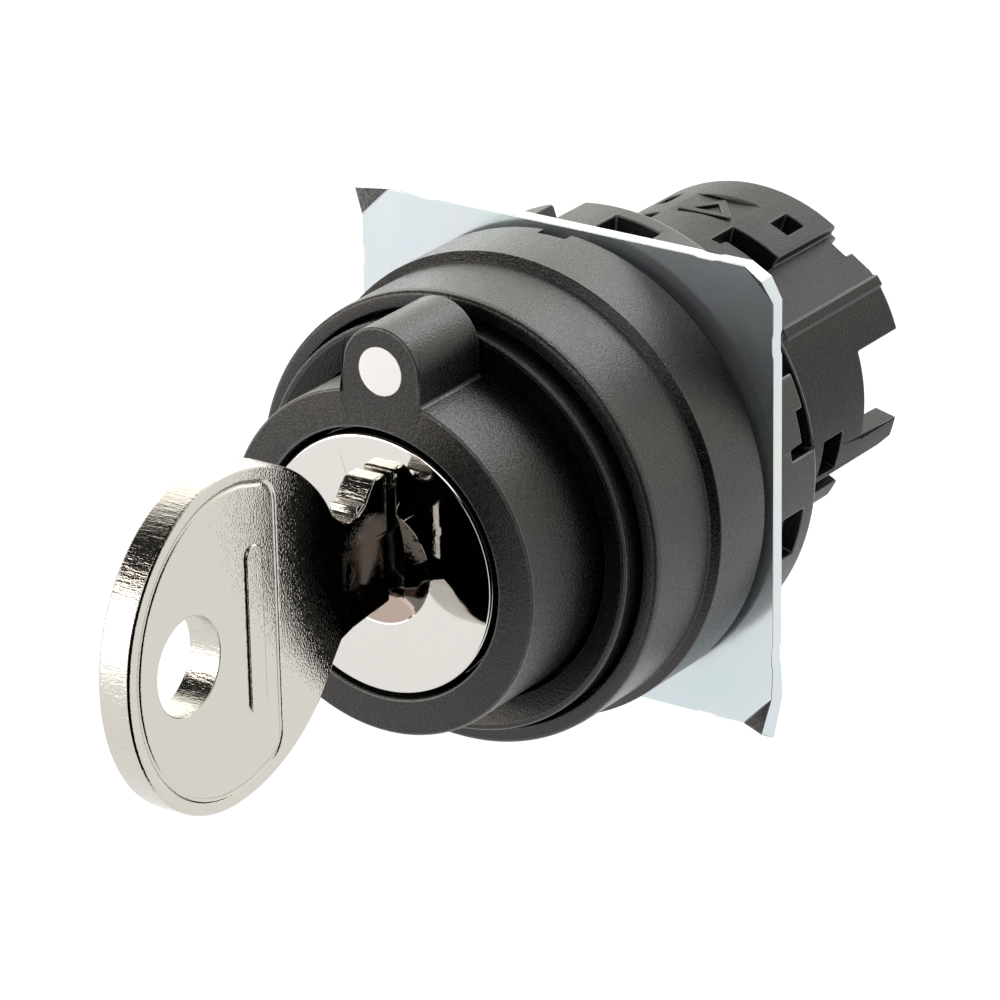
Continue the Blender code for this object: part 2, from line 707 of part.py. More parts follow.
def coil_spring(name, group, centre, low, high):
    """Return a coil along Z as a round wire that follows a helix between two heights."""
    steps = int(SPRING_TURNS * 14)
    curve = bpy.data.curves.new(name, 'CURVE')
    curve.dimensions = '3D'
    curve.bevel_depth = SPRING_WIRE_R * MM
    curve.bevel_resolution = 1
    curve.use_fill_caps = True
    spline = curve.splines.new('POLY')
    spline.points.add(steps)
    rise = high - low - 2.0 * SPRING_WIRE_R
    for i, point in enumerate(spline.points):
        angle = 2.0 * pi * SPRING_TURNS * i / steps
        place = (centre[0] + SPRING_R * cos(angle), centre[1] + SPRING_R * sin(angle),
                 low + SPRING_WIRE_R + rise * i / steps)
        point.co = (*(value * MM for value in place), 1.0)
    guide = bpy.data.objects.new(name + "_path", curve)
    group.objects.link(guide)
    graph = bpy.context.evaluated_depsgraph_get()
    mesh = bpy.data.meshes.new_from_object(guide.evaluated_get(graph))
    bpy.data.objects.remove(guide)
    obj = bpy.data.objects.new(name, mesh)
    group.objects.link(obj)
    return settle(obj)


def make_carrier(parts, cutters, mat):
    """Inner bulkhead that guides the two pushers."""
    disc = tube("pusher_carrier", parts, CARRIER_Y, CARRIER_R, 2.6, FINE)
    for side, _, sign in CAM_SIDES:
        half_x = PUSHER_HALF[0] + PUSHER_SLOT_GAP
        half_z = PUSHER_HALF[1] + PUSHER_SLOT_GAP
        middle = sign * PUSHER_X
        slot = block("cut_pusher_slot_" + side, cutters, (middle - half_x, middle + half_x),
                     (CARRIER_Y[0] - 1.0, CARRIER_Y[1] + 1.0), (-half_z, half_z))
        cut(disc, slot)
    return finish(disc, mat)


def make_pusher(parts, mat, side, sign):
    """Sliding pusher with a wedge foot on the cam's ramp and a flat end for a contact block."""
    foot = CAM_RAMP_MID_Y + 0.35
    shoulder = foot + 0.7
    half_z = PUSHER_HALF[1]
    outline = [(foot, -0.35), (shoulder, -half_z), (PUSHER_REAR_Y, -half_z),
               (PUSHER_REAR_Y, half_z), (shoulder, half_z), (foot, 0.35)]
    low, high = sorted((sign * PUSHER_X - PUSHER_HALF[0], sign * PUSHER_X + PUSHER_HALF[0]))
    return finish(prism("pusher_" + side, parts, outline, 'X', low, high), mat)


# ---------------------------------------------------------------- case and panel fixing

def case_flat(name, group, sign):
    """Cutter for one of the two flats beside the top shell."""
    start = CASE_FLAT * sin(radians(-1.0))
    x_range = sorted((sign * start, sign * 7.0))
    flat = block(name, group, x_range, (CASE_FLAT_FRONT_Y, 30.0), (CASE_FLAT, 16.0))
    return turn_clock(flat, sign * CASE_FLAT_CLOCK)


def mirrored_clocks(clocks, sign):
    """Return a clock range, or its mirror image on the other side."""
    return clocks if sign > 0.0 else (-clocks[1], -clocks[0])


def make_case(parts, cutters, mat):
    """Moulded case behind the panel with its latch windows, flats and rear fingers."""
    profile = [
        (CASE_FLANGE_Y[0], CASE_FRONT_BORE_R),
        (CASE_FLANGE_Y[0], CASE_FLANGE_R),
        (CASE_FLANGE_Y[1], CASE_FLANGE_R),
        (CASE_FLANGE_Y[1], CASE_R),
        (CASE_REAR_Y - 0.3, CASE_R),
        (CASE_REAR_Y, CASE_R - 0.3),
        (CASE_REAR_Y, CASE_BORE_R),
        (CASE_SHOULDER_Y, CASE_BORE_R),
        (CASE_SHOULDER_Y, CASE_FRONT_BORE_R),
    ]
    case = turned("case", parts, profile)
    through = (8.0, 14.0)
    for side, sign in (("right", 1.0), ("left", -1.0)):
        cut(case, case_flat("cut_flat_" + side, cutters, sign))
        for label, clocks, radii, y_range in (
                ("side_notch", (73.0, 103.3), through, (CASE_SIDE_NOTCH_Y, 30.0)),
                ("shoulder", (35.5, 43.0), through, (21.7, 30.0)),
                ("latch_window", (14.0, 33.2), through, (13.4, 15.4)),
                ("latch_corner", (14.0, 18.0), through, (12.8, 13.5)),
                ("square_hole", (20.0, 27.5), through, (17.9, 19.9)),
                ("hook_hole", (96.0, 110.0), through, (12.7, 14.9)),
                ("hook_tip", (97.0, 117.4), through, (21.7, 30.0)),
                ("ledge", (112.0, 118.0), (10.3, 14.0), (8.0, 30.0))):
            name = "cut_%s_%s" % (label, side)
            cut(case, sector(name, cutters, mirrored_clocks(clocks, sign), radii, y_range))
    bottom = sector("cut_bottom", cutters, (114.2, 245.8), through, (CASE_BOTTOM_REAR_Y, 30.0))
    belly = sector("cut_belly", cutters, (125.0, 235.0), (10.4, 14.0), (8.0, 30.0))
    field = block("cut_mark_field", cutters, (-4.0, 4.0), (15.6, 19.2), (10.72, 14.0))
    keyslot = block("cut_keyslot", cutters, (-1.4, 1.4), (-0.2, 9.0), (10.25, 14.0))
    return finish(cut(case, bottom, belly, field, keyslot), mat)


def make_latch_leaf(parts, mat):
    """Bent steel leaf seen through the latch window."""
    return finish(sector("latch_leaf", parts, LEAF_CLOCKS, LEAF_RADII, LEAF_Y), mat)


def make_lock_plate(parts, cutters, mat):
    """Square zinc-plated plate with its four corners folded forward."""
    half = PLATE_HALF
    fold = half - PLATE_CORNER
    reach = PLATE_CORNER * (1.0 - cos(radians(PLATE_FOLD))) / 2.0
    rise = PLATE_CORNER / 2.0 ** 0.5 * sin(radians(PLATE_FOLD))
    bm = bmesh.new()
    ring = []
    tips = []
    for sx, sz in ((1.0, 1.0), (-1.0, 1.0), (-1.0, -1.0), (1.0, -1.0)):
        along_x = bm.verts.new((sx * fold, 0.0, sz * half))
        along_z = bm.verts.new((sx * half, 0.0, sz * fold))
        tip = bm.verts.new((sx * (half - reach), -rise, sz * (half - reach)))
        ring += [along_z, along_x] if sx * sz > 0 else [along_x, along_z]
        tips.append((along_z, tip, along_x) if sx * sz > 0 else (along_x, tip, along_z))
    bm.faces.new(ring)
    for corner in tips:
        bm.faces.new(corner)
    bmesh.ops.recalc_face_normals(bm, faces=bm.faces)
    bmesh.ops.translate(bm, verts=bm.verts, vec=(0.0, PLATE_FRONT_Y + PLATE_THICK / 2, 0.0))
    mesh = bpy.data.meshes.new("lock_plate")
    bm.to_mesh(mesh)
    bm.free()
    plate = add_object("lock_plate", mesh, parts)
    shell = plate.modifiers.new("sheet", 'SOLIDIFY')
    shell.thickness = PLATE_THICK * MM
    shell.offset = 0.0
    shell.use_even_offset = True
    settle(plate)
    hole = rod("cut_plate_hole", cutters, 'Y', PLATE_HOLE_R, (0.0, 0.0), -4.0, 6.0, ROUND)
    tongue = block("keep_tongue", cutters, (-TONGUE_HALF, TONGUE_HALF), (-5.0, 7.0),
                   (TONGUE_Z, 13.0))
    cut(hole, tongue)
    return finish(cut(plate, hole), mat)


def make_ring_nut(parts, cutters, mat):
    """Castellated nut that clamps the plate to the panel."""
    front, rear = NUT_Y
    profile = [
        (front, NUT_BORE_R), (front, NUT_R), (rear - 0.25, NUT_R), (rear, NUT_R - 0.25),
        (rear, NUT_BORE_R)]
    nut = turned("ring_nut", parts, profile)
    for half in (0, 1):
        for i, (start, end, low, high) in enumerate(NUT_NOTCHES):
            clocks = (start + 180.0 * half, end + 180.0 * half)
            name = "cut_nut_notch_%d_%d" % (half, i + 1)
            cut(nut, sector(name, cutters, clocks, (NUT_FLOOR_R, 16.0), (low, high)))
    return finish(nut, mat)


# ---------------------------------------------------------------- assembly

def main():
    """Build every piece of the switch."""
    clear_scene()
    parts = new_collection("selector_key_switch")
    cutters = new_collection("guides")

    black = (0.035, 0.034, 0.032)
    make_bezel(parts, cutters, material("bezel_plastic", black, 0.5, 0.0))
    make_guide_ring(parts, material("guide_ring_plastic", (0.02, 0.02, 0.02), 0.45, 0.0))
    make_gasket(parts, material("gasket_rubber", (0.02, 0.02, 0.02), 0.85, 0.0))
    make_shaft_seal(parts, material("seal_rubber", (0.025, 0.025, 0.025), 0.8, 0.0))
    make_sleeve(parts, cutters, material("sleeve_plastic", (0.03, 0.03, 0.03), 0.45, 0.0))
    make_index_dot(parts, material("dot_white", (0.85, 0.85, 0.83), 0.5, 0.0))
    make_plug_face(parts, cutters, material("face_chrome", (0.82, 0.83, 0.85), 0.08, 1.0))
    make_plug_core(parts, cutters, material("core_zinc", (0.55, 0.55, 0.54), 0.35, 1.0))
    make_plug_clip(parts, material("clip_steel", (0.5, 0.5, 0.5), 0.3, 1.0))
    make_cam(parts, cutters, material("cam_plastic", (0.75, 0.73, 0.68), 0.5, 0.0))
    make_cam_screw(parts, cutters, material("screw_steel", (0.6, 0.6, 0.6), 0.3, 1.0))
    make_key(parts, cutters, material("key_nickel", (0.62, 0.6, 0.56), 0.28, 1.0))
    for index in range(WAFER_COUNT):
        brass = material("wafer_brass_%d" % (index + 1), (0.72, 0.55, 0.25), 0.35, 1.0)
        make_wafer(parts, cutters, brass, index)
    make_lock_housing(parts, cutters, material("housing_zinc", (0.45, 0.45, 0.44), 0.45, 1.0))
    make_detent(parts, (material("ball_steel", (0.7, 0.7, 0.7), 0.15, 1.0),
                        material("spring_steel", (0.55, 0.55, 0.55), 0.3, 1.0),
                        material("cap_brass", (0.7, 0.55, 0.3), 0.4, 1.0)))
    make_carrier(parts, cutters, material("carrier_plastic", (0.05, 0.05, 0.05), 0.5, 0.0))
    for side, _, sign in CAM_SIDES:
        plastic = material("pusher_plastic_" + side, (0.7, 0.69, 0.65), 0.45, 0.0)
        make_pusher(parts, plastic, side, sign)
    make_case(parts, cutters, material("case_plastic", black, 0.5, 0.0))
    make_latch_leaf(parts, material("leaf_steel", (0.6, 0.62, 0.65), 0.25, 1.0))
    make_lock_plate(parts, cutters, material("plate_zinc", (0.78, 0.8, 0.82), 0.22, 1.0))
    make_ring_nut(parts, cutters, material("nut_plastic", (0.045, 0.044, 0.042), 0.5, 0.0))


main()
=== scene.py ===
from math import acos, cos, degrees, pi, radians, sin, tan
import bmesh
import bpy
from mathutils import Matrix, Vector


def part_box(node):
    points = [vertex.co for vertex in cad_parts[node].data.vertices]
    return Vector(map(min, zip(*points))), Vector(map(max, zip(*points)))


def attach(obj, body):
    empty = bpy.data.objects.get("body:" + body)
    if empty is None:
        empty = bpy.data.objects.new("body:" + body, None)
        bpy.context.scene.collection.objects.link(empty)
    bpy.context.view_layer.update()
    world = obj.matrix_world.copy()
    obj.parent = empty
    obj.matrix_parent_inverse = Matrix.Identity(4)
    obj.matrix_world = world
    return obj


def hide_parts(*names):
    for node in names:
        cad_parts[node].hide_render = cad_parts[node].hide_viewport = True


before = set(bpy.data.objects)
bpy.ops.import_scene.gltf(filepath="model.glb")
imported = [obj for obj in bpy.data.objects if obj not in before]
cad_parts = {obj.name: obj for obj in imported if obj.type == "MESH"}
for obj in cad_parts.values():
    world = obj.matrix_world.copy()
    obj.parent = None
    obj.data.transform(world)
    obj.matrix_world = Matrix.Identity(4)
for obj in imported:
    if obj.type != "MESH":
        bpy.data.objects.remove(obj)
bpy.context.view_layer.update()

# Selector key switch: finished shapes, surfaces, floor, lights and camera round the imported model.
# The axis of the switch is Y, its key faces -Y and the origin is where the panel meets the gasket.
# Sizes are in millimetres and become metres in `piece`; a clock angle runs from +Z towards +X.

MM = 0.001
TURNS = 160                   # segments round a turned piece
ARC_STEPS = 5                 # segments in a rounded corner
SLIVER = 0.0000005            # edges shorter than this, in metres, are closed up
WELD = 0.00002                # points closer than this, in metres, become one
NODE_WELD = 0.0005            # the same for a copied CAD node, in millimetres
FLAT_ANGLE = 0.5              # its faces that meet at less than this, in degrees, become one
SMOOTH_ANGLE = 50.0           # sharper edges than this, in degrees, stay creased
EDGE_STRIP = 0.11             # faces narrower than this belong to a rounded edge
WARM = (1.0, 0.965, 0.93)     # cast of the plastics' reflections and specks


def node_mm(name):
    """Return the lowest and highest corners of a CAD node in millimetres."""
    low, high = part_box(name)
    return Vector(low) / MM, Vector(high) / MM


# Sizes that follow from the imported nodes
BEZEL_LOW, BEZEL_HIGH = node_mm("bezel")
GUIDE_LOW, GUIDE_HIGH = node_mm("guide_ring")
SLEEVE_LOW, SLEEVE_HIGH = node_mm("rotor_sleeve")
DOT_REAR_Y = node_mm("index_dot")[1].y
FACE_LOW, FACE_HIGH = node_mm("plug_face")
KEY_HIGH = node_mm("key")[1]
CASE_LOW, CASE_HIGH = node_mm("case")
PLATE_HIGH = node_mm("lock_plate")[1]
NUT_LOW, NUT_HIGH = node_mm("ring_nut")
GASKET_LOW, GASKET_HIGH = node_mm("panel_gasket")

CLEAR = 1.0                   # how far a cutter reaches past the piece that it cuts
OUTSIDE_R = 16.0              # outside every wall and ring

# Front ring and guide ring
BEZEL_R = BEZEL_HIGH.x
BEZEL_FRONT_R = BEZEL_R - 0.57
BEZEL_STEP_Y = -5.46
BEZEL_SHOULDER_Y = -7.0
BEZEL_BORE_R = 13.3
NECK_R = 11.3
NOTCH_X = (-0.7, 1.3)         # sight notch on top
NOTCH_Z = (13.9, 16.0)
NOTCH_DEPTH = 0.8
GUIDE_R = GUIDE_HIGH.x
GUIDE_BORE_R = 11.2
GUIDE_DISH = 0.5              # how far the face falls back towards the bore

# Turning group
SLEEVE_R = SLEEVE_HIGH.x
SLEEVE_BORE_R = 8.5
SLEEVE_LIP = 0.2              # the face leans back by this from its bore to its rim
LUG_CLOCK = 2.2
LUG_HALF_WIDTH = 2.7
LUG_CENTRE_R = 12.2
LUG_FOOT = (2.8, 9.6)         # half width and height of the lug's foot inside the sleeve
LUG_REAR_Y = -13.3
DOT_R = 1.5
DOT_PROUD = 0.05
DOT_STEPS = 64
FACE_R = 8.14
DISH_R = 3.75                 # hollow round the keyhole
DISH_DEPTH = 0.9
DISH_STEPS = 16
SLOT_HALF = 1.4
SLOT_Z = (-1.9, 5.3)

# Key
KEY_HALF_THICK = KEY_HIGH.x
BOW_Y = -35.8
BOW_Z = 1.2
BOW_OUTER_A = 9.5
BOW_INNER_A = 11.35
BOW_B = 10.2
BOW_HOLE_Y = -39.7
BOW_HOLE_R = 2.95
BLADE_HALF_THICK = 0.95
BLADE_Z = (-1.6, 5.0)
KEY_STOP_Y = -20.1
BLADE_TIP_Y = KEY_HIGH.y
WAFER_FIRST_Y = -15.4
WAFER_PITCH = 2.6
BITTING_DEPTHS = (0.9, 1.4, 0.7, 1.2, 0.5)
CUT_HALF = (0.35, 1.0)        # half width of a cut at its floor and at its mouth
BLADE_NOSE = (1.8, 1.9)       # slope at the blade's tip, along and across
MILL_FLOOR_X = 0.65           # groove milled in both sides of the blade
MILL_FLOOR_Z = (-0.55, 1.93)
MILL_EDGE_Z = (-1.3, 2.6)
MILL_RUN_OUT_Y = (-25.0, -23.3)
MILL_STEPS = 6
LOOP_INSET = 0.95             # from the bow's edge to the fine groove that follows it
LOOP_LINE_Y = -31.25          # straight side of the groove's loop
LOOP_BEND = 1.6
LOOP_SKIP = 9                 # points of the oval that the bends take the place of
GROOVE_HALF = 0.17
GROOVE_DEPTH = 0.11
BAR_Y = -33.4                 # plain raised bar beside the loop's straight side
BAR_HALF = (0.75, 5.2)
BAR_RISE = 0.16

# Case behind the panel
CASE_R = 11.0
CASE_BORE_R = 9.5
CASE_MOUTH_R = 8.5            # front opening, inside the flange
CASE_MOUTH_Y = 0.5
CASE_FLANGE_THICK = 1.3
CASE_CHAMFER = 0.3
CASE_REAR_Y = CASE_HIGH.y
CASE_FLANGE_R = CASE_HIGH.x
CASE_BEYOND_Y = 30.0          # rear end of the cutters that run out at the back
CASE_BEYOND_R = 14.0
CASE_FLAT = 10.2
CASE_FLAT_CLOCK = 34.0
CASE_FLAT_LEAD = 1.0          # it starts this many degrees nearer the top
CASE_FLAT_REACH = 7.0
CASE_FLAT_FRONT_Y = 8.0
RIDGE_CLOCKS = (54.0, 57.8)   # narrow raised band between the flat and the round side
RIDGE_ROOT_R = 10.2
RIDGE_R = 11.1
RIDGE_Y = (11.0, 22.3)
# Finger at each side of the rear: y and z of the cutters beside it, turned to its clock angle
FINGER_CLOCK = 113.0
FINGER_TAPER = ((25.0, 1.0), (21.95, 0.48), (16.2, -0.54), (16.2, -3.0), (25.0, -3.0))
FINGER_TIP = ((20.6, -1.2), (22.6, 0.9), (22.6, -3.0), (20.6, -3.0))
THROUGH = (8.0, CASE_BEYOND_R)
# Openings of the right side, repeated on the left: clock angles, radii and y of each
CASE_OPENINGS = {
    "side_notch": ((73.0, 103.3), THROUGH, (17.45, CASE_BEYOND_Y)),
    "rim_notch": ((35.5, 43.0), THROUGH, (21.7, CASE_BEYOND_Y)),
    "latch_window": ((14.0, 33.2), THROUGH, (13.4, 15.4)),
    "latch_window_heel": ((14.0, 18.0), THROUGH, (12.8, 13.5)),
    "catch_window": ((20.0, 27.5), THROUGH, (17.9, 19.9)),
    "side_window": ((96.0, 110.0), THROUGH, (12.7, 14.9)),
    "finger_end": ((97.0, 117.4), THROUGH, (21.7, CASE_BEYOND_Y)),
    "finger_side": ((112.0, 118.0), (10.3, CASE_BEYOND_R), (8.0, CASE_BEYOND_Y)),
}
BOTTOM_CLOCKS = (114.2, 245.8)    # the bottom ends short of the rear
BOTTOM_REAR_Y = 16.6
UNDERCUT_CLOCKS = (125.0, 235.0)  # and its wall is thinner
UNDERCUT_R = 10.4
UNDERCUT_FRONT_Y = 8.0
MARK_FIELD_X = (-4.0, 4.0)
MARK_FIELD_Y = (15.6, 19.2)
MARK_FIELD_Z = (10.72, 14.0)
MARK_HALF = 2.1               # raised outline of a triangle in the sunk field
MARK_Y = (16.1, 18.8)
MARK_Z = (10.6, 10.9)
MARK_INNER_HALF = 1.05
MARK_INNER_Y = (16.6, 17.95)
THREAD_R = 11.24
THREAD_PITCH = 1.5
THREAD_Y = (0.35, 7.6)
THREAD_SUNK = 0.1             # how far the thread's root lies inside the case
THREAD_ROOT_HALF = 0.6
THREAD_CREST_HALF = 0.12
THREAD_STEPS = 96             # per turn
THREAD_FADE = 24              # steps over which the crest rises and falls at the ends
KEYSLOT_HALF = 1.4
KEYSLOT_FLOOR_Z = 10.25
KEYSLOT_REAR_Y = 9.0

# Panel fixing
PLATE_HALF = PLATE_HIGH.x - 0.07
PLATE_FRONT_Y = 0.25
PLATE_THICK = 1.0
PLATE_HOLE_R = 11.35
PLATE_HOLE_Y = (-4.0, 6.0)    # how far the hole's cutter reaches
PLATE_CORNER = 2.1
# Corners of the plate: how far each tip stands forward, and how far it is drawn in
PLATE_TIPS = {"upper_left": (0.86, -0.06), "lower_left": (0.9, 0.0),
              "lower_right": (1.24, -0.06), "upper_right": (0.1, 0.75)}
PLATE_DIP = 0.09              # depth of the shallow dips beside each corner, left by the cutting
PLATE_DIP_FROM = 5.6          # where a dip starts and ends, in from the corner
PLATE_DIP_TO = 4.0
PLATE_DIP_SLOPE = 0.3
PLATE_KEY_X = (-1.0, 1.0)     # key of the hole, which runs in the case's slot
PLATE_KEY_Z = (10.6, 13.0)
PLATE_TWIST = 0.35            # play of the plate on the case's key, in degrees
NUT_R = NUT_HIGH.x
NUT_BORE_R = 11.35
NUT_FLOOR_R = 13.2
NUT_BRIDGE_Y = 4.7            # rear of the notches that a bridge closes
NUT_CHAMFER = 0.2
# Notches of one half turn: clock angles of the two sides, y of the front and rear
NUT_NOTCHES = (
    (-18.0, -8.0, 1.0, 7.0),
    (4.0, 17.0, 1.0, NUT_BRIDGE_Y),
    (30.0, 43.0, 1.0, NUT_BRIDGE_Y),
    (56.0, 64.0, 1.0, 5.7),
    (63.5, 74.0, 5.35, 5.7),
    (73.0, 82.5, 4.6, 5.7),
    (81.0, 84.0, 3.3, 5.7),
    (98.0, 111.0, 1.0, NUT_BRIDGE_Y),
    (124.0, 137.0, 1.0, NUT_BRIDGE_Y),
)

# Camera and studio, in millimetres and degrees
VIEW_AZIMUTH = 34.54
VIEW_ELEVATION = 22.36
VIEW_ROLL = -1.25
VIEW_FROM = (199.45, -296.72, 144.28)
VIEW_LENS = 226.9
SENSOR = 36.0
FLOOR_Z = -45.0
FLOOR_HALF = 3000.0
FLOOR_COLOUR = (0.15, 0.15, 0.15, 1.0)
FLOOR_GLOW = 0.95             # the floor's own light, which keeps its shadows faint
CARD_X = (15.0, 2800.0)       # black card on the floor
CARD_Y = (-2800.0, -45.0)
# Radiance of the room by direction: limits of the slope and the values at its two ends
WALL_ACROSS = ((0.25, 0.62), (2.2, 1.2))
WALL_DEPTH = ((-0.1, 0.45), (0.002, 1.0))
WALL_RISE = ((0.7, 1.0), (1.0, 0.2))
ROOM_COLOUR = (1.0, 0.985, 0.93, 1.0)
SOFTBOX_DISTANCE = 700.0
SOFTBOX_AIM = (0.0, -10.0, 0.0)
# Name, direction from the switch, width and height, radiance (the floor is about 1), colour
SOFTBOXES = (
    ("softbox_front_left", (-0.62, -0.74, 0.22), (620.0, 420.0), 4.0, (1.0, 0.95, 0.9)),
    ("softbox_front_top", (0.16, -0.76, 0.6), (420.0, 240.0), 3.2, (1.0, 1.0, 1.0)),
    ("softbox_rear_top", (0.1, 0.76, 0.64), (440.0, 260.0), 3.1, (0.85, 0.96, 1.0)),
)


# ---------------------------------------------------------------- shape helpers

def clock_xz(clock, radius):
    """Return x and z of a point at a clock angle in degrees."""
    angle = radians(clock)
    return radius * sin(angle), radius * cos(angle)


def arc(centre, radius, start, end, steps):
    """Return points of an arc, counted in degrees from the first axis of the outline."""
    points = []
    for i in range(steps + 1):
        angle = radians(start + (end - start) * i / steps)
        points.append((centre[0] + radius * cos(angle), centre[1] + radius * sin(angle)))
    return points


def rounded(corners, steps=ARC_STEPS):
    """Return a closed outline whose corners, given as (a, b, radius), are rounded."""
    points = []
    for i, (a, b, radius) in enumerate(corners):
        here = Vector((a, b))
        if radius <= 0.0:
            points.append((a, b))
            continue
        back = (Vector(corners[i - 1][:2]) - here).normalized()
        ahead = (Vector(corners[(i + 1) % len(corners)][:2]) - here).normalized()
        half = back.angle(ahead) / 2.0
        centre = here + (back + ahead).normalized() * (radius / sin(half))
        start = here + back * (radius / tan(half)) - centre
        end = here + ahead * (radius / tan(half)) - centre
        sweep = start.angle(end)
        for j in range(steps + 1):
            t = j / steps
            spoke = (start * sin((1.0 - t) * sweep) + end * sin(t * sweep)) / sin(sweep)
            points.append(tuple(centre + spoke))
    return points


def piece(name, bm):
    """Turn a mesh modelled in millimetres into an object in metres."""
    bmesh.ops.recalc_face_normals(bm, faces=bm.faces)
    mesh = bpy.data.meshes.new(name)
    bm.to_mesh(mesh)
    bm.free()
    mesh.transform(Matrix.Scale(MM, 4))
    obj = bpy.data.objects.new(name, mesh)
    bpy.context.scene.collection.objects.link(obj)
    return obj


def settle(obj):
    """Bake an object's modifiers into its mesh."""
    graph = bpy.context.evaluated_depsgraph_get()
    baked = bpy.data.meshes.new_from_object(obj.evaluated_get(graph))
    obj.modifiers.clear()
    obj.data = baked
    return obj


def turned(name, profile):
    """Turn a profile of (y, radius) points about the Y axis; it closes unless it meets the axis."""
    bm = bmesh.new()
    rings = []
    for y, radius in profile:
        count = TURNS if radius > 0.0 else 1
        rings.append([bm.verts.new((radius * sin(2.0 * pi * i / TURNS), y,
                                    radius * cos(2.0 * pi * i / TURNS))) for i in range(count)])
    closed = min(radius for _, radius in profile) > 0.0
    following = rings[1:] + rings[:1] if closed else rings[1:]
    for first, second in zip(rings, following):
        for i in range(TURNS):
            k = i + 1
            corners = []
            for vert in (first[i % len(first)], first[k % len(first)],
                         second[k % len(second)], second[i % len(second)]):
                if vert not in corners:
                    corners.append(vert)
            if len(corners) > 2:
                bm.faces.new(corners)
    return piece(name, bm)


def skin(bm, rings):
    """Join each ring of points to the next one with four-sided faces."""
    for first, second in zip(rings, rings[1:]):
        for i in range(len(first)):
            k = (i + 1) % len(first)
            bm.faces.new((first[i], first[k], second[k], second[i]))


def prism(name, outline, axis, low, high):
    """Push a closed outline along an axis; its two coordinates are the other two axes in order."""
    slot = 'XYZ'.index(axis)

    def place(point, depth):
        coords = list(point)
        coords.insert(slot, depth)
        return coords

    bm = bmesh.new()
    ends = [[bm.verts.new(place(point, depth)) for point in outline] for depth in (low, high)]
    for ring in ends:
        bm.faces.new(ring)
    skin(bm, ends)
    return piece(name, bm)


def block(x_range, y_range, z_range):
    """Return a box given by its limits."""
    (left, right), (bottom, top) = x_range, z_range
    outline = [(left, bottom), (right, bottom), (right, top), (left, top)]
    return prism("block", outline, 'Y', *y_range)


def sector(clocks, radii, y_range):
    """Return a ring sector between two clock angles and two radii."""
    steps = max(3, int((clocks[1] - clocks[0]) / 2.5))
    spread = [clocks[0] + (clocks[1] - clocks[0]) * i / steps for i in range(steps + 1)]
    outline = [clock_xz(clock, radii[1]) for clock in spread]
    outline += [clock_xz(clock, radii[0]) for clock in reversed(spread)]
    return prism("sector", outline, 'Y', *y_range)


def rod(axis, radius, centre, low, high, steps=96):
    """Return a cylinder along an axis through a centre given by the other two coordinates."""
    return prism("rod", arc(centre, radius, 0.0, 360.0, steps)[:-1], axis, low, high)


def turn_clock(obj, clock):
    """Turn an object's mesh about the Y axis, clockwise as seen from the front."""
    obj.data.transform(Matrix.Rotation(radians(clock), 4, 'Y'))
    return obj


def combine(obj, operation, others):
    """Cut, join or trim a piece with others, which are used up."""
    for other in others:
        boolean = obj.modifiers.new("shape", 'BOOLEAN')
        boolean.operation = operation
        boolean.object = other
        boolean.solver = 'EXACT'
        settle(obj)
        bpy.data.objects.remove(other, do_unlink=True)
    return obj


def cut(obj, *others):
    """Take others out of a piece."""
    return combine(obj, 'DIFFERENCE', others)


def join(obj, *others):
    """Fuse others into a piece."""
    return combine(obj, 'UNION', others)


def soften(obj, width, segments=2, limit=32.0):
    """Round the sharp edges of a piece and merge what is left of tiny slivers."""
    bm = bmesh.new()
    bm.from_mesh(obj.data)
    bmesh.ops.remove_doubles(bm, verts=bm.verts, dist=WELD)
    bmesh.ops.dissolve_degenerate(bm, edges=bm.edges, dist=SLIVER)
    bm.to_mesh(obj.data)
    bm.free()
    bevel = obj.modifiers.new("edges", 'BEVEL')
    bevel.width = width * MM
    bevel.segments = segments
    bevel.limit_method = 'ANGLE'
    bevel.angle_limit = radians(limit)
    bevel.use_clamp_overlap = False
    bevel.miter_outer = 'MITER_ARC'
    return settle(obj)


def mark_edges(obj):
    """Note which faces are the narrow strips of a rounded edge, for the painted highlight that edges
    get.
    """
    values = []
    for face in obj.data.polygons:
        sides = [obj.data.vertices[a].co - obj.data.vertices[b].co for a, b in face.edge_keys]
        longest = max(side.length for side in sides)
        values.append(1.0 if face.area < longest * EDGE_STRIP * MM else 0.0)
    layer = obj.data.attributes.new("edge", 'FLOAT', 'FACE')
    layer.data.foreach_set("value", values)


def shade(obj):
    """Smooth a piece with the normals of its larger faces kept flat."""
    mark_edges(obj)
    obj.data.shade_smooth()
    weighted = obj.modifiers.new("normals", 'WEIGHTED_NORMAL')
    weighted.keep_sharp = True
    weighted.weight = 95
    obj.data.set_sharp_from_angle(angle=radians(SMOOTH_ANGLE))
    return settle(obj)


def finish(obj, mat, body, slot_name, *nodes):
    """Give a piece its material and its body, and hide the CAD nodes that it stands for."""
    obj.data.materials.clear()
    obj.data.materials.append(mat)
    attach(obj, body)
    if nodes:
        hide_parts(*nodes)
    return obj


# ---------------------------------------------------------------- material helpers

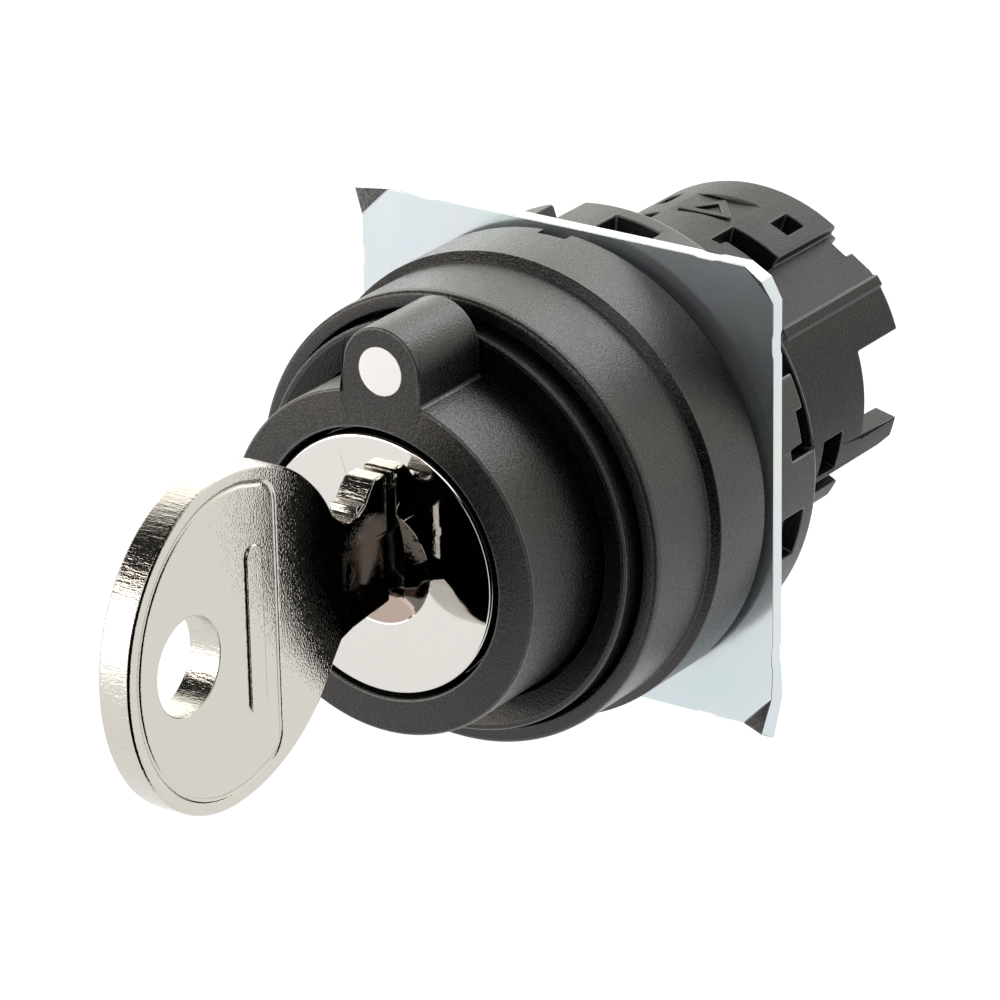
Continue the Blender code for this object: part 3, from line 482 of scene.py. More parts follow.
class Surface:
    """A node-based material that is built up step by step."""

    def __init__(self, name, colour, roughness, metallic=0.0):
        self.mat = bpy.data.materials.new(name)
        self.mat.use_nodes = True
        self.nodes = self.mat.node_tree.nodes
        self.links = self.mat.node_tree.links
        self.shader = self.nodes["Principled BSDF"]
        self.colour = self.plain(colour)
        self.rough = self.number(roughness)
        self.height = None
        self.shader.inputs["Metallic"].default_value = metallic
        self.place = self.nodes.new("ShaderNodeTexCoord")

    def plain(self, colour):
        """Return a socket with one colour."""
        node = self.nodes.new("ShaderNodeRGB")
        node.outputs[0].default_value = (*colour, 1.0)
        return node.outputs[0]

    def number(self, value):
        """Return a socket with one number."""
        node = self.nodes.new("ShaderNodeValue")
        node.outputs[0].default_value = value
        return node.outputs[0]

    def math(self, operation, a, b=0.0, clamp=False):
        """Return the result of a sum on sockets or numbers."""
        node = self.nodes.new("ShaderNodeMath")
        node.operation = operation
        node.use_clamp = clamp
        for i, value in enumerate((a, b)):
            if isinstance(value, (int, float)):
                node.inputs[i].default_value = value
            else:
                self.links.new(value, node.inputs[i])
        return node.outputs[0]

    def coords(self, stretch=(1.0, 1.0, 1.0)):
        """Return object coordinates, scaled along each axis."""
        node = self.nodes.new("ShaderNodeMapping")
        node.inputs["Scale"].default_value = stretch
        self.links.new(self.place.outputs["Object"], node.inputs["Vector"])
        return node.outputs["Vector"]

    def noise(self, size, detail=2.0, roughness=0.5, stretch=(1.0, 1.0, 1.0), distortion=0.0):
        """Return a noise of about the given grain size in millimetres, from 0 to 1."""
        node = self.nodes.new("ShaderNodeTexNoise")
        node.inputs["Scale"].default_value = 1.0 / (size * MM)
        node.inputs["Detail"].default_value = detail
        node.inputs["Roughness"].default_value = roughness
        node.inputs["Distortion"].default_value = distortion
        self.links.new(self.coords(stretch), node.inputs["Vector"])
        return node.outputs["Fac"]

    def parts(self, output):
        """Return the X, Y and Z sockets of the object's own coordinates or normal."""
        node = self.nodes.new("ShaderNodeSeparateXYZ")
        self.links.new(self.place.outputs[output], node.inputs["Vector"])
        return node.outputs

    def ramp(self, value, low, high):
        """Return how far a value is from one limit to another, from 0 to 1."""
        node = self.nodes.new("ShaderNodeMapRange")
        node.interpolation_type = 'SMOOTHSTEP'
        node.inputs["From Min"].default_value = low
        node.inputs["From Max"].default_value = high
        self.links.new(value, node.inputs["Value"])
        return node.outputs["Result"]

    def edge(self):
        """Return 1 on the rounded edges of a piece and 0 elsewhere."""
        node = self.nodes.new("ShaderNodeAttribute")
        node.attribute_name = "edge"
        return node.outputs["Fac"]

    def tint(self, colour, amount):
        """Mix another colour in by an amount socket."""
        node = self.nodes.new("ShaderNodeMix")
        node.data_type = 'RGBA'
        self.links.new(amount, node.inputs["Factor"])
        self.links.new(self.colour, node.inputs["A"])
        node.inputs["B"].default_value = (*colour, 1.0)
        self.colour = node.outputs["Result"]
        return self

    def roughen(self, amount):
        """Add an amount socket to the roughness."""
        self.rough = self.math('ADD', self.rough, amount, clamp=True)
        return self

    def raise_by(self, height):
        """Add a height socket, in millimetres, to the bump."""
        self.height = height if self.height is None else self.math('ADD', self.height, height)
        return self

    def done(self):
        """Join the chains to the shader and return the material."""
        self.links.new(self.colour, self.shader.inputs["Base Color"])
        self.links.new(self.rough, self.shader.inputs["Roughness"])
        if self.height is not None:
            bump = self.nodes.new("ShaderNodeBump")
            bump.inputs["Strength"].default_value = 1.0
            bump.inputs["Distance"].default_value = MM
            self.links.new(self.height, bump.inputs["Height"])
            self.links.new(bump.outputs["Normal"], self.shader.inputs["Normal"])
        return self.mat


def moulded(name, colour, roughness, grain=0.13, depth=0.03, speck=0.03, edge_highlight=0.13, gloss=0.5):
    """Moulded plastic: spark-eroded grain, fine specks, faint flow marks and rounded edges lightened
    as a painted highlight.

    Grain and depth are in millimetres; speck is added to the colour, and the edge amount is added to
    the colour of the rounded edges as a painted highlight.
    """
    s = Surface(name, colour, roughness)
    fine = s.noise(grain, 2.0, 0.6)
    s.raise_by(s.math('MULTIPLY', fine, depth))
    broad = s.noise(3.2, 2.0, 0.5)
    s.roughen(s.math('MULTIPLY', s.math('SUBTRACT', broad, 0.5), 0.12))
    s.roughen(s.math('MULTIPLY', s.math('SUBTRACT', fine, 0.5), 0.3))
    light = tuple(channel + speck * warm for channel, warm in zip(colour, WARM))
    s.tint(light, s.ramp(s.noise(grain * 0.75, 1.0, 0.5), 0.48, 0.75))
    # Painted highlight: the rounded edges get a lighter colour, standing in for the light lines that
    # they catch.
    s.tint(tuple(channel + edge_highlight for channel in colour), s.edge())
    s.roughen(s.math('MULTIPLY', s.edge(), -0.08))
    s.shader.inputs["Specular IOR Level"].default_value = gloss
    s.shader.inputs["Specular Tint"].default_value = (*WARM, 1.0)
    return s.done()


def rubber(name, colour):
    """Dull rubber with bloom and fine pits."""
    s = Surface(name, colour, 0.78)
    s.raise_by(s.math('MULTIPLY', s.noise(0.1, 3.0, 0.6), 0.01))
    s.tint(tuple(channel * 2.2 for channel in colour), s.ramp(s.noise(1.6, 4.0, 0.6), 0.5, 0.85))
    return s.done()


def chrome(name):
    """Bright chrome plate with the faintest haze; the hollow round the keyhole is darkened to brown
    as a painted dark reflection.
    """
    s = Surface(name, (0.66, 0.64, 0.61), 0.03, 1.0)
    s.roughen(s.math('MULTIPLY', s.ramp(s.noise(2.6, 3.0, 0.6), 0.45, 0.75), 0.05))
    s.raise_by(s.math('MULTIPLY', s.noise(5.0, 1.0, 0.4), 0.006))
    s.tint((0.61, 0.60, 0.58), s.math('MULTIPLY', s.ramp(s.noise(1.1, 4.0, 0.7), 0.55, 0.8), 0.35))
    place = s.parts("Object")
    squares = [s.math('POWER', s.math('ABSOLUTE', place[axis]), 2.0) for axis in ("X", "Z")]
    radius = s.math('SQRT', s.math('ADD', *squares))
    # Painted reflection: the hollow round the keyhole is tinted dull brown, standing in for the dark
    # reflections it shows.
    dish_dark_reflection = s.math('SUBTRACT', 1.0, s.ramp(radius, (DISH_R - 0.12) * MM, (DISH_R + 0.02) * MM))
    s.tint((0.12, 0.1, 0.09), dish_dark_reflection)
    return s.done()


def key_nickel(name):
    """Satin nickel: pebbled flat faces, and a rim with streaks across its thickness."""
    s = Surface(name, (0.58, 0.555, 0.505), 0.06, 1.0)
    side = s.math('ABSOLUTE', s.parts("Normal")["X"])
    rim = s.ramp(s.math('SUBTRACT', 1.0, side), 0.3, 0.7)
    streak = s.noise(0.22, 3.0, 0.7, (0.12, 1.0, 1.0), 0.2)
    s.raise_by(s.math('MULTIPLY', s.math('MULTIPLY', streak, rim), 0.04))
    s.raise_by(s.math('MULTIPLY', s.noise(0.14, 1.0, 0.5), 0.013))
    s.raise_by(s.math('MULTIPLY', s.noise(2.4, 2.0, 0.5), 0.01))
    s.roughen(s.math('MULTIPLY', rim, 0.12))
    s.tint((0.5, 0.44, 0.38), s.math('MULTIPLY', s.ramp(streak, 0.5, 0.75),
                                     s.math('MULTIPLY', rim, 0.35)))
    s.tint((0.52, 0.49, 0.43), s.math('MULTIPLY', s.ramp(s.noise(0.3, 3.0, 0.7), 0.6, 0.8), 0.3))
    return s.done()


def plate_zinc(name):
    """Bright passivated zinc: a satin sheet with faint rainbow tints, and painted shade on the front
    of its folded corners.
    """
    s = Surface(name, (0.66, 0.715, 0.755), 0.13, 0.78)
    s.tint((0.57, 0.73, 0.70), s.math('MULTIPLY', s.ramp(s.noise(7.0, 2.0, 0.5), 0.45, 0.75), 0.6))
    s.tint((0.75, 0.74, 0.66), s.math('MULTIPLY', s.ramp(s.noise(9.0, 2.0, 0.5), 0.5, 0.78), 0.6))
    s.tint((0.60, 0.65, 0.82), s.math('MULTIPLY', s.ramp(s.noise(5.0, 3.0, 0.6), 0.5, 0.8), 0.5))
    s.roughen(s.math('MULTIPLY', s.ramp(s.noise(3.0, 1.0, 0.5), 0.35, 0.8), 0.12))
    s.raise_by(s.math('MULTIPLY', s.noise(6.0, 1.0, 0.4), 0.03))
    place = s.parts("Object")
    facing = s.parts("Normal")
    across, up = (s.math('ABSOLUTE', place[axis]) for axis in ("X", "Z"))
    limit = (2.0 * PLATE_HALF - PLATE_CORNER) * MM
    corner = s.ramp(s.math('ADD', across, up), limit, limit + 0.05 * MM)
    front = s.ramp(s.math('MULTIPLY', facing["Y"], -1.0), 0.3, 0.5)
    # Painted shade: the front faces of the folded corners are tinted near black, with lighter
    # speckle, standing in for the shadow on the turned faces.
    tip = s.math('MULTIPLY', corner, front)
    corner_shade_speckle = s.ramp(s.noise(0.16, 2.0, 0.7), 0.35, 0.7)
    s.tint((0.1, 0.1, 0.098), tip)
    s.tint((0.3, 0.3, 0.29), s.math('MULTIPLY', tip, corner_shade_speckle))
    s.roughen(s.math('MULTIPLY', tip, 0.2))
    return s.done()


def metal(name, colour, roughness, grain=0.3, depth=0.006, stretch=(1.0, 1.0, 1.0)):
    """Cast, turned or rolled metal of the inner pieces."""
    s = Surface(name, colour, roughness, 1.0)
    fine = s.noise(grain, 3.0, 0.6, stretch)
    s.raise_by(s.math('MULTIPLY', fine, depth))
    s.roughen(s.math('MULTIPLY', s.math('SUBTRACT', s.noise(1.5, 3.0, 0.6), 0.5), 0.3))
    dull = tuple(channel * 0.6 for channel in colour)
    s.tint(dull, s.math('MULTIPLY', s.ramp(s.noise(grain * 3.0, 4.0, 0.65), 0.5, 0.8), 0.5))
    return s.done()


def paint_white(name):
    """White filled mark, slightly grained."""
    s = Surface(name, (1.0, 1.0, 0.99), 0.45)
    s.raise_by(s.math('MULTIPLY', s.noise(0.15, 3.0, 0.6), 0.006))
    s.tint((0.8, 0.79, 0.77), s.math('MULTIPLY', s.ramp(s.noise(0.7, 3.0, 0.6), 0.55, 0.85), 0.3))
    return s.done()


# ---------------------------------------------------------------- front of the switch

def make_bezel(mat):
    """Two-step front ring with its sight notch."""
    front = BEZEL_LOW.y
    rear = BEZEL_HIGH.y
    profile = rounded([
        (rear, NECK_R, 0.0),
        (BEZEL_SHOULDER_Y, NECK_R, 0.0),
        (BEZEL_SHOULDER_Y, BEZEL_BORE_R, 0.0),
        (front, BEZEL_BORE_R, 0.12),
        (front, BEZEL_FRONT_R - 0.05, 0.28),
        (front + 0.55, BEZEL_FRONT_R, 0.3),
        (BEZEL_STEP_Y - 0.45, BEZEL_FRONT_R, 0.12),
        (BEZEL_STEP_Y - 0.08, BEZEL_R, 0.12),
        (rear, BEZEL_R, 0.14),
    ])
    bezel = turned("bezel_ring", profile)
    notch = block(NOTCH_X, (rear - NOTCH_DEPTH, rear + CLEAR), NOTCH_Z)
    soften(cut(bezel, notch), 0.06)
    return finish(shade(bezel), mat, "operator_body", "bezel_plastic", "bezel")


def make_guide_ring(mat):
    """Proud ring with a dished face round the turning sleeve."""
    front = GUIDE_LOW.y
    profile = rounded([
        (GUIDE_HIGH.y, GUIDE_BORE_R, 0.0),
        (front + GUIDE_DISH, GUIDE_BORE_R, 0.1),
        (front, GUIDE_R - 0.35, 0.1),
        (front, GUIDE_R, 0.14),
        (GUIDE_HIGH.y, GUIDE_R, 0.0),
    ])
    ring = turned("guide_ring_dished", profile)
    return finish(shade(ring), mat, "operator_body", "guide_ring_plastic", "guide_ring")


def make_gasket(mat):
    """Rubber ring with a rounded lip, between the bezel and the panel."""
    low, high = GASKET_LOW.y, GASKET_HIGH.y
    profile = rounded([(low, NECK_R, 0.0), (low, GASKET_HIGH.x, 0.15),
                       (high, GASKET_HIGH.x, 0.15), (high, NECK_R, 0.0)])
    ring = turned("gasket_ring", profile)
    return finish(shade(ring), mat, "operator_body", "gasket_rubber", "panel_gasket")


# ---------------------------------------------------------------- turning group

def make_sleeve(mat):
    """Sleeve with its pointer lug, rounded along its edges."""
    lip = SLEEVE_LOW.y
    rim = lip + SLEEVE_LIP
    sleeve = turned("rotor_sleeve_turned", [
        (SLEEVE_HIGH.y, SLEEVE_BORE_R), (lip, SLEEVE_BORE_R), (rim, SLEEVE_R),
        (SLEEVE_HIGH.y, SLEEVE_R)])
    outline = arc((0.0, LUG_CENTRE_R), LUG_HALF_WIDTH, 0.0, 180.0, 40)
    foot, foot_z = LUG_FOOT
    outline += [(-foot, foot_z), (foot, foot_z)]
    lug = prism("lug", outline, 'Y', rim - 0.02, LUG_REAR_Y)
    join(sleeve, turn_clock(lug, LUG_CLOCK))
    bore = rod('Y', SLEEVE_BORE_R, (0.0, 0.0), lip - CLEAR, SLEEVE_HIGH.y + CLEAR, TURNS)
    soften(cut(sleeve, bore), 0.16, 3, 40.0)
    pocket = rod('Y', DOT_R + 0.005, (0.0, LUG_CENTRE_R), lip - CLEAR, DOT_REAR_Y + 0.05, DOT_STEPS)
    cut(sleeve, turn_clock(pocket, LUG_CLOCK))
    return finish(shade(sleeve), mat, "rotor", "sleeve_plastic", "rotor_sleeve")


def make_index_dot(mat):
    """White dot that fills the lug's pocket."""
    front = SLEEVE_LOW.y + SLEEVE_LIP - DOT_PROUD
    dot = rod('Y', DOT_R, (0.0, LUG_CENTRE_R), front, DOT_REAR_Y, DOT_STEPS)
    dot.name = "index_dot_fill"
    turn_clock(dot, LUG_CLOCK)
    return finish(shade(dot), mat, "rotor", "dot_white", "index_dot")


def make_plug_face(mat):
    """Bright cap on the plug, dished and slotted for the key."""
    front, rear = FACE_LOW.y, FACE_HIGH.y
    profile = []
    for i in range(DISH_STEPS):
        share = i / DISH_STEPS
        profile.append((front + DISH_DEPTH * (1.0 - share * share), DISH_R * share, 0.0))
    profile += [(front, DISH_R, 0.07), (front, FACE_R, 0.22), (rear, FACE_R, 0.1),
                (rear, 0.0, 0.0)]
    face = turned("plug_face_cap", [(y, max(r, 0.0)) for y, r in rounded(profile)])
    slot = block((-SLOT_HALF, SLOT_HALF), (front - CLEAR, rear + CLEAR), SLOT_Z)
    soften(cut(face, slot), 0.08, 3, 60.0)
    return finish(shade(face), mat, "rotor", "face_chrome", "plug_face")


# ---------------------------------------------------------------- key

def oval(inset, start, end, steps):
    """Return points of the bow's oval, moved in by an inset, between two angles in degrees."""
    points = []
    for i in range(steps + 1):
        angle = radians(start + (end - start) * i / steps)
        length = BOW_INNER_A if cos(angle) > 0.0 else BOW_OUTER_A
        points.append((BOW_Y + (length - inset) * cos(angle),
                       BOW_Z + (BOW_B - inset) * sin(angle)))
    return points


def key_outline():
    """Return the outline of the bow and the neck as far as the collar."""
    low = [(-25.0, -2.7), (-23.9, -2.4), (KEY_STOP_Y, -2.0)]
    high = [(KEY_STOP_Y, 6.1), (-21.35, 6.1), (-21.9, 5.6), (-22.4, 4.9), (-23.0, 4.5),
            (-23.8, 4.37), (-24.4, 4.5)]
    return oval(0.0, 24.0, 331.0, 150) + low + high


def blade_outline():
    """Return the blade's outline with the cuts for the wafers."""
    low, high = BLADE_Z
    points = [(KEY_STOP_Y - 3.0, high), (KEY_STOP_Y - 3.0, low), (KEY_STOP_Y, low)]
    upper = []
    floor, mouth = CUT_HALF
    for i, depth in enumerate(BITTING_DEPTHS):
        y = WAFER_FIRST_Y + i * WAFER_PITCH
        for edge, base, rise in ((points, low, depth), (upper, high, -0.5 * depth)):
            edge += [(y - mouth, base), (y - floor, base + rise), (y + floor, base + rise),
                     (y + mouth, base)]
    along, across = BLADE_NOSE
    points += [(BLADE_TIP_Y - along, low), (BLADE_TIP_Y, low + across),
               (BLADE_TIP_Y, high - across), (BLADE_TIP_Y - along, high)]
    return points + list(reversed(upper)) + [(KEY_STOP_Y, high)]


def loop_path():
    """Return the closed path of the fine groove: the oval, closed by a straight side."""
    start = degrees(acos((LOOP_LINE_Y - BOW_Y) / (BOW_INNER_A - LOOP_INSET)))
    points = oval(LOOP_INSET, start, 360.0 - start, 120)
    corners = [(*points[0], LOOP_BEND)]
    corners += [(*point, 0.0) for point in points[LOOP_SKIP:-LOOP_SKIP]]
    corners.append((*points[-1], LOOP_BEND))
    return rounded(corners, 10)


def channel(path, face_x, sign):
    """Cutter that runs a shallow rounded groove along a closed path on one side of the key."""
    bm = bmesh.new()
    section = [(-GROOVE_HALF, 0.3), (-GROOVE_HALF, 0.0), (-GROOVE_HALF * 0.6, -GROOVE_DEPTH * 0.75),
               (0.0, -GROOVE_DEPTH), (GROOVE_HALF * 0.6, -GROOVE_DEPTH * 0.75),
               (GROOVE_HALF, 0.0), (GROOVE_HALF, 0.3)]
    rings = []
    count = len(path)
    for i in range(count):
        here = Vector(path[i])
        along = (Vector(path[(i + 1) % count]) - Vector(path[i - 1])).normalized()
        across = Vector((along.y, -along.x))
        rings.append([bm.verts.new((sign * (face_x + height), *(here + across * side)))
                      for side, height in section])
    skin(bm, rings + rings[:1])
    return piece("channel", bm)


def mill_cutter(sign):
    """Groove with sloping walls along one side of the blade, running out at the neck."""
    outer = KEY_HALF_THICK + 0.5

    def wall_z(index, x):
        share = (x - MILL_FLOOR_X) / (KEY_HALF_THICK - MILL_FLOOR_X)
        return MILL_FLOOR_Z[index] + share * (MILL_EDGE_Z[index] - MILL_FLOOR_Z[index])

    first_y, full_y = MILL_RUN_OUT_Y
    stations = [(BLADE_TIP_Y + 1.0, MILL_FLOOR_X)]
    for i in range(MILL_STEPS + 1):
        share = i / MILL_STEPS
        stations.append((full_y + share * (first_y - full_y),
                         MILL_FLOOR_X + share * share * (KEY_HALF_THICK + 0.1 - MILL_FLOOR_X)))
    bm = bmesh.new()
    rings = []
    for y, floor in stations:
        section = [(floor, wall_z(0, floor)), (outer, wall_z(0, outer)),
                   (outer, wall_z(1, outer)), (floor, wall_z(1, floor))]
        rings.append([bm.verts.new((sign * x, y, z)) for x, z in section])
    skin(bm, rings)
    bm.faces.new(rings[0])
    bm.faces.new(rings[-1])
    return piece("mill", bm)


def make_key(mat):
    """Flat key with its looped groove, bored bow and bitted blade; its plain raised bars are made in
    make_key_bars.
    """
    key = prism("key_cut", key_outline(), 'X', -KEY_HALF_THICK, KEY_HALF_THICK)
    soften(key, 0.22, 3, 60.0)
    path = loop_path()
    cut(key, channel(path, KEY_HALF_THICK, 1.0), channel(path, KEY_HALF_THICK, -1.0))
    blade = prism("blade", blade_outline(), 'X', -BLADE_HALF_THICK, BLADE_HALF_THICK)
    soften(blade, 0.08, 1, 40.0)
    join(key, blade)
    reach = KEY_HALF_THICK + CLEAR
    hole = rod('X', BOW_HOLE_R, (BOW_HOLE_Y, BOW_Z), -reach, reach, 72)
    cut(key, hole, mill_cutter(1.0), mill_cutter(-1.0))
    soften(key, 0.08, 2, 40.0)
    return finish(shade(key), mat, "key_body", "key_nickel", "key")


def make_key_bars(mat):
    """Plain raised bars, one on each side of the bow."""
    half_y, half_z = BAR_HALF
    signs = ((-1.0, -1.0), (1.0, -1.0), (1.0, 1.0), (-1.0, 1.0))
    outline = rounded([(BAR_Y + a * half_y, BOW_Z + b * half_z, half_y - 0.01)
                       for a, b in signs], 10)
    for label, sign in (("right", 1.0), ("left", -1.0)):
        base = KEY_HALF_THICK - 0.3
        low, high = sorted((sign * base, sign * (KEY_HALF_THICK + BAR_RISE)))
        bar = prism("key_bar_" + label, outline, 'X', low, high)
        soften(bar, 0.1, 3, 60.0)
        finish(shade(bar), mat, "key_body", "key_nickel")


# ---------------------------------------------------------------- panel fixing

def make_lock_plate(mat):
    """Square plate with folded corners, shallow dips beside them, and its keyed hole."""
    half = PLATE_HALF
    fold = half - PLATE_CORNER
    start, end = half - PLATE_DIP_FROM, half - PLATE_DIP_TO
    deep_start, deep_end = start + PLATE_DIP_SLOPE, end - PLATE_DIP_SLOPE
    floor = half - PLATE_DIP
    bm = bmesh.new()
    ring = []
    tips = []
    middle = PLATE_FRONT_Y + PLATE_THICK / 2.0

    def vert(x, z, y=0.0):
        return bm.verts.new((x, y + middle, z))

    for quarter, (rise, reach) in enumerate(PLATE_TIPS.values()):
        turn = Matrix.Rotation(radians(90.0 * quarter), 2)
        side = [(-fold, half), (-end, half), (-deep_end, floor), (-deep_start, floor),
                (-start, half), (start, half), (deep_start, floor), (deep_end, floor),
                (end, half), (fold, half)]
        edge = [vert(*(turn @ Vector(point))) for point in reversed(side)]
        ring += edge
        tip = turn @ Vector((-(half - reach), half - reach))
        tips.append(vert(*tip, -rise))
    bm.faces.new(ring)
    count = len(ring)
    per_side = count // 4
    for i, tip in enumerate(tips):
        last = ring[(i + 1) * per_side - 1]
        following = ring[((i + 1) * per_side) % count]
        bm.faces.new((last, tip, following))
    plate = piece("lock_plate_sheet", bm)
    shell = plate.modifiers.new("sheet", 'SOLIDIFY')
    shell.thickness = PLATE_THICK * MM
    shell.offset = 0.0
    shell.use_even_offset = True
    settle(plate)
    hole = rod('Y', PLATE_HOLE_R, (0.0, 0.0), *PLATE_HOLE_Y, TURNS)
    cut(hole, block(PLATE_KEY_X, (PLATE_HOLE_Y[0] - CLEAR, PLATE_HOLE_Y[1] + CLEAR), PLATE_KEY_Z))
    soften(cut(plate, hole), 0.06, 2, 20.0)
    turn_clock(plate, PLATE_TWIST)
    return finish(shade(plate), mat, "plate_body", "plate_zinc", "lock_plate")


def make_ring_nut(mat):
    """Castellated nut with rounded edges and a plain bore."""
    front, rear = NUT_LOW.y, NUT_HIGH.y
    nut = turned("ring_nut_castellated", [
        (front, NUT_BORE_R), (front, NUT_R), (rear - NUT_CHAMFER, NUT_R),
        (rear, NUT_R - NUT_CHAMFER), (rear, NUT_BORE_R)])
    for turn in (0.0, 180.0):
        for start, end, low, high in NUT_NOTCHES:
            cut(nut, sector((start + turn, end + turn), (NUT_FLOOR_R, OUTSIDE_R), (low, high)))
    soften(nut, 0.12, 3)
    return finish(shade(nut), mat, "nut_body", "nut_plastic", "ring_nut")


# ---------------------------------------------------------------- case

def case_flat(sign):
    """Cutter for one of the two flats beside the top shell."""
    start = CASE_FLAT * sin(radians(-CASE_FLAT_LEAD))
    x_range = sorted((sign * start, sign * CASE_FLAT_REACH))
    flat = block(x_range, (CASE_FLAT_FRONT_Y, CASE_BEYOND_Y), (CASE_FLAT, OUTSIDE_R))
    return turn_clock(flat, sign * CASE_FLAT_CLOCK)


def mirrored(clocks, sign):
    """Return a clock range, or its mirror image on the other side."""
    return clocks if sign > 0.0 else (-clocks[1], -clocks[0])


def keyslot(front_y):
    """Cutter for the slot along the top of the case that the plate's key runs in."""
    return block((-KEYSLOT_HALF, KEYSLOT_HALF), (front_y, KEYSLOT_REAR_Y),
                 (KEYSLOT_FLOOR_Z, CASE_BEYOND_R))


def make_case(mat):
    """Moulded case with its latch windows, flats, fingers and mark field."""
    flange_front = CASE_LOW.y
    flange_rear = flange_front + CASE_FLANGE_THICK
    case = turned("case_moulding", [
        (flange_front, CASE_MOUTH_R), (flange_front, CASE_FLANGE_R), (flange_rear, CASE_FLANGE_R),
        (flange_rear, CASE_R), (CASE_REAR_Y - CASE_CHAMFER, CASE_R),
        (CASE_REAR_Y, CASE_R - CASE_CHAMFER), (CASE_REAR_Y, CASE_BORE_R),
        (CASE_MOUTH_Y, CASE_BORE_R), (CASE_MOUTH_Y, CASE_MOUTH_R)])
    for sign in (1.0, -1.0):
        cut(case, case_flat(sign))
        join(case, sector(mirrored(RIDGE_CLOCKS, sign), (RIDGE_ROOT_R, RIDGE_R), RIDGE_Y))
        for outline in (FINGER_TAPER, FINGER_TIP):
            x_range = sorted((sign * 9.0, sign * CASE_BEYOND_R))
            cut(case, turn_clock(prism("taper", outline, 'X', *x_range),
                                 sign * (FINGER_CLOCK - 90.0)))
        for clocks, radii, y_range in CASE_OPENINGS.values():
            cut(case, sector(mirrored(clocks, sign), radii, y_range))
    cut(case, sector(BOTTOM_CLOCKS, THROUGH, (BOTTOM_REAR_Y, CASE_BEYOND_Y)),
        sector(UNDERCUT_CLOCKS, (UNDERCUT_R, CASE_BEYOND_R), (UNDERCUT_FRONT_Y, CASE_BEYOND_Y)),
        block(MARK_FIELD_X, MARK_FIELD_Y, MARK_FIELD_Z), keyslot(-0.2))
    soften(case, 0.09, 2)
    return finish(shade(case), mat, "operator_body", "case_plastic", "case")


def make_mark(mat):
    """Raised outline of a triangle that shows which side is up."""
    base, peak = MARK_Y
    outline = rounded([(-MARK_HALF, base, 0.15), (MARK_HALF, base, 0.15), (0.0, peak, 0.15)])
    mark = prism("top_mark", outline, 'Z', *MARK_Z)
    base, peak = MARK_INNER_Y
    cut(mark, prism("inside", [(-MARK_INNER_HALF, base), (MARK_INNER_HALF, base), (0.0, peak)],
                    'Z', MARK_Z[0] - CLEAR, MARK_Z[1] + CLEAR))
    soften(mark, 0.05, 2)
    return finish(shade(mark), mat, "operator_body", "case_plastic")


def make_thread(mat):
    """Thread of the case, under the nut."""
    bm = bmesh.new()
    low, high = THREAD_Y
    count = int((high - low) / THREAD_PITCH * THREAD_STEPS)
    rings = []
    for i in range(count + 1):
        clock = 360.0 * i / THREAD_STEPS
        fade = min(1.0, i / THREAD_FADE, (count - i) / THREAD_FADE)
        crest = CASE_R + (THREAD_R - CASE_R) * fade
        root = CASE_R - THREAD_SUNK
        y = low + THREAD_PITCH * i / THREAD_STEPS
        ring = []
        for radius, offset in ((root, -THREAD_ROOT_HALF), (crest, -THREAD_CREST_HALF),
                               (crest, THREAD_CREST_HALF), (root, THREAD_ROOT_HALF)):
            x, z = clock_xz(clock, radius)
            ring.append(bm.verts.new((x, y + offset, z)))
        rings.append(ring)
    skin(bm, rings)
    bm.faces.new(rings[0])
    bm.faces.new(rings[-1])
    thread = piece("case_thread", bm)
    cut(thread, keyslot(-1.0))
    return finish(shade(thread), mat, "operator_body", "case_plastic")


# ---------------------------------------------------------------- inner pieces

def refine(node, body, mat, slot_name, width=0.06):
    """Copy a CAD node with its edges rounded and its normals smoothed."""
    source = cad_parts[node]
    bm = bmesh.new()
    bm.from_mesh(source.data)
    bm.transform(Matrix.Scale(1.0 / MM, 4))
    bmesh.ops.remove_doubles(bm, verts=bm.verts, dist=NODE_WELD)
    bmesh.ops.dissolve_limit(bm, angle_limit=radians(FLAT_ANGLE), verts=bm.verts, edges=bm.edges)
    obj = piece(node + "_finished", bm)
    if width:
        soften(obj, width, 2, 36.0)
    return finish(shade(obj), mat, body, slot_name, node)


